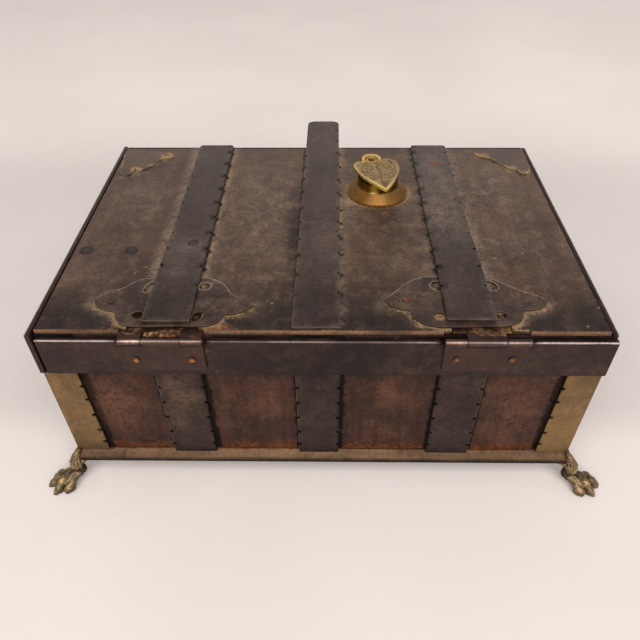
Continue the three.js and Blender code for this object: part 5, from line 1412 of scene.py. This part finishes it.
# ------------------------------------------------------------------------------------------------ floor, light and camera
floor_mesh = bpy.data.meshes.new("floor")
floor_mesh.from_pydata([(-4, -3, 0), (4, -3, 0), (4, 6, 0), (-4, 6, 0)], [], [(0, 1, 2, 3)])
floor = bpy.data.objects.new("floor", floor_mesh)
bpy.context.scene.collection.objects.link(floor)
fm = Mat("floor_cloth", 0.9, 0.0, 0.2)
fn = fm.noise(160, 3, 0.5)
fn2 = fm.noise(1.2, 2, 0.6)
fc = fm.mix(fm.step(fn, 0.35, 0.65), lin(223, 214, 209), lin(227, 218, 213))
# painted shade on the cloth beside and just behind the box
fs = fm.nt.nodes.new("ShaderNodeSeparateXYZ")
fm.put(fs.inputs[0], fm.P)
floor_shade = fm.math("MULTIPLY", fm.step(fs.outputs[1], 0.33, 0.16), fm.step(fs.outputs[1], -0.085, -0.03))
fc = fm.mix(1.0, fc, fm.step(floor_shade, 0.0, 1.0, 1.0, 0.84), "MULTIPLY")
# painted light: the cloth is a little darker just in front, lighter far behind and lighter to the right of and behind
# the box
fc = fm.mix(1.0, fc, fm.math("MULTIPLY", fm.step(fs.outputs[1], -0.14, -0.03, 0.95, 1.0), fm.step(fs.outputs[1], 0.24, 0.42, 1.0, 1.075)), "MULTIPLY")
floor_light = fm.math("MULTIPLY", fm.step(fs.outputs[0], 0.1, 0.3), fm.step(fs.outputs[1], -0.05, 0.1))
fc = fm.mix(1.0, fc, fm.step(floor_light, 0.0, 1.0, 1.0, 1.05), "MULTIPLY")
fm.color(fm.mix(1.0, fc, fm.step(fn2, 0.3, 0.7, 0.98, 1.02), "MULTIPLY"))
floor.data.materials.append(fm.m)
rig.stage(floor)

scene = bpy.context.scene
world = bpy.data.worlds.new("studio")
scene.world = world
world.use_nodes = True
wt = world.node_tree
bg = wt.nodes["Background"]
sky = wt.nodes.new("ShaderNodeSeparateXYZ")
wt.links.new(wt.nodes.new("ShaderNodeTexCoord").outputs["Generated"], sky.inputs[0])
up = wt.nodes.new("ShaderNodeValToRGB")
wt.links.new(sky.outputs["Z"], up.inputs[0])
el = up.color_ramp.elements
el[0].position, el[0].color = 0.0, (0.86, 0.82, 0.80, 1)
el[1].position, el[1].color = 1.0, (0.52, 0.50, 0.49, 1)
for at, v in ((0.42, 0.86), (0.62, 0.42), (0.80, 0.30)):
    e_ = el.new(at)
    e_.color = (v, v * 0.96, v * 0.935, 1)
wt.links.new(up.outputs[0], bg.inputs[0])
# more comes from the hinge side of the room than from behind
front = wt.nodes.new("ShaderNodeMapRange")
front.interpolation_type = "SMOOTHSTEP"
for key, value in (("From Min", -0.35), ("From Max", 0.35), ("To Min", 1.1), ("To Max", 1.06)):
    front.inputs[key].default_value = value
wt.links.new(sky.outputs["Y"], front.inputs["Value"])
wt.links.new(front.outputs[0], bg.inputs[1])


def area(name, place, target, size, power, color=(1, 0.98, 0.96)):
    data = bpy.data.lights.new(name, "AREA")
    data.shape = "RECTANGLE"
    data.size, data.size_y = size
    data.energy = power
    data.color = color
    o = bpy.data.objects.new(name, data)
    o.location = place
    d = Vector(target) - Vector(place)
    o.rotation_euler = d.to_track_quat("-Z", "Y").to_euler()
    scene.collection.objects.link(o)
    return o


area("overhead", (0.0, -0.95, 1.25), (0, 0, 0.0), (1.8, 1.05), 24)
area("front_fill", (0.1, -1.4, 0.85), (0, 0, 0.05), (1.1, 0.22), 2.5)

camera = bpy.data.cameras.new("camera")
camera.lens = 34.0795
camera.sensor_width = 36.0
camera.sensor_fit = "HORIZONTAL"
camera.clip_start = 0.01
cam = bpy.data.objects.new("camera", camera)
scene.collection.objects.link(cam)
right = Vector((0.999911, 0.012066, -0.005626))
down = Vector((0.004026, -0.676821, -0.736136))
forward = Vector((-0.01269, 0.736048, -0.67681))
pose = Matrix.Identity(4)
for i, axis in enumerate((right, -down, -forward)):
    for j in range(3):
        pose[j][i] = axis[j]
pose.translation = Vector((2.668322, -263.800281, 266.27665)) * MM
cam.matrix_world = pose
scene.camera = cam
scene.view_settings.view_transform = "Standard"
scene.view_settings.look = "None"
scene.view_settings.exposure = 0.0
scene.view_settings.gamma = 1.0

low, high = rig.bounds()
with open("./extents.json", "w") as f:
    json.dump({"cad": [list(cad_low), list(cad_high)], "visual": [list(low), list(high)]}, f)
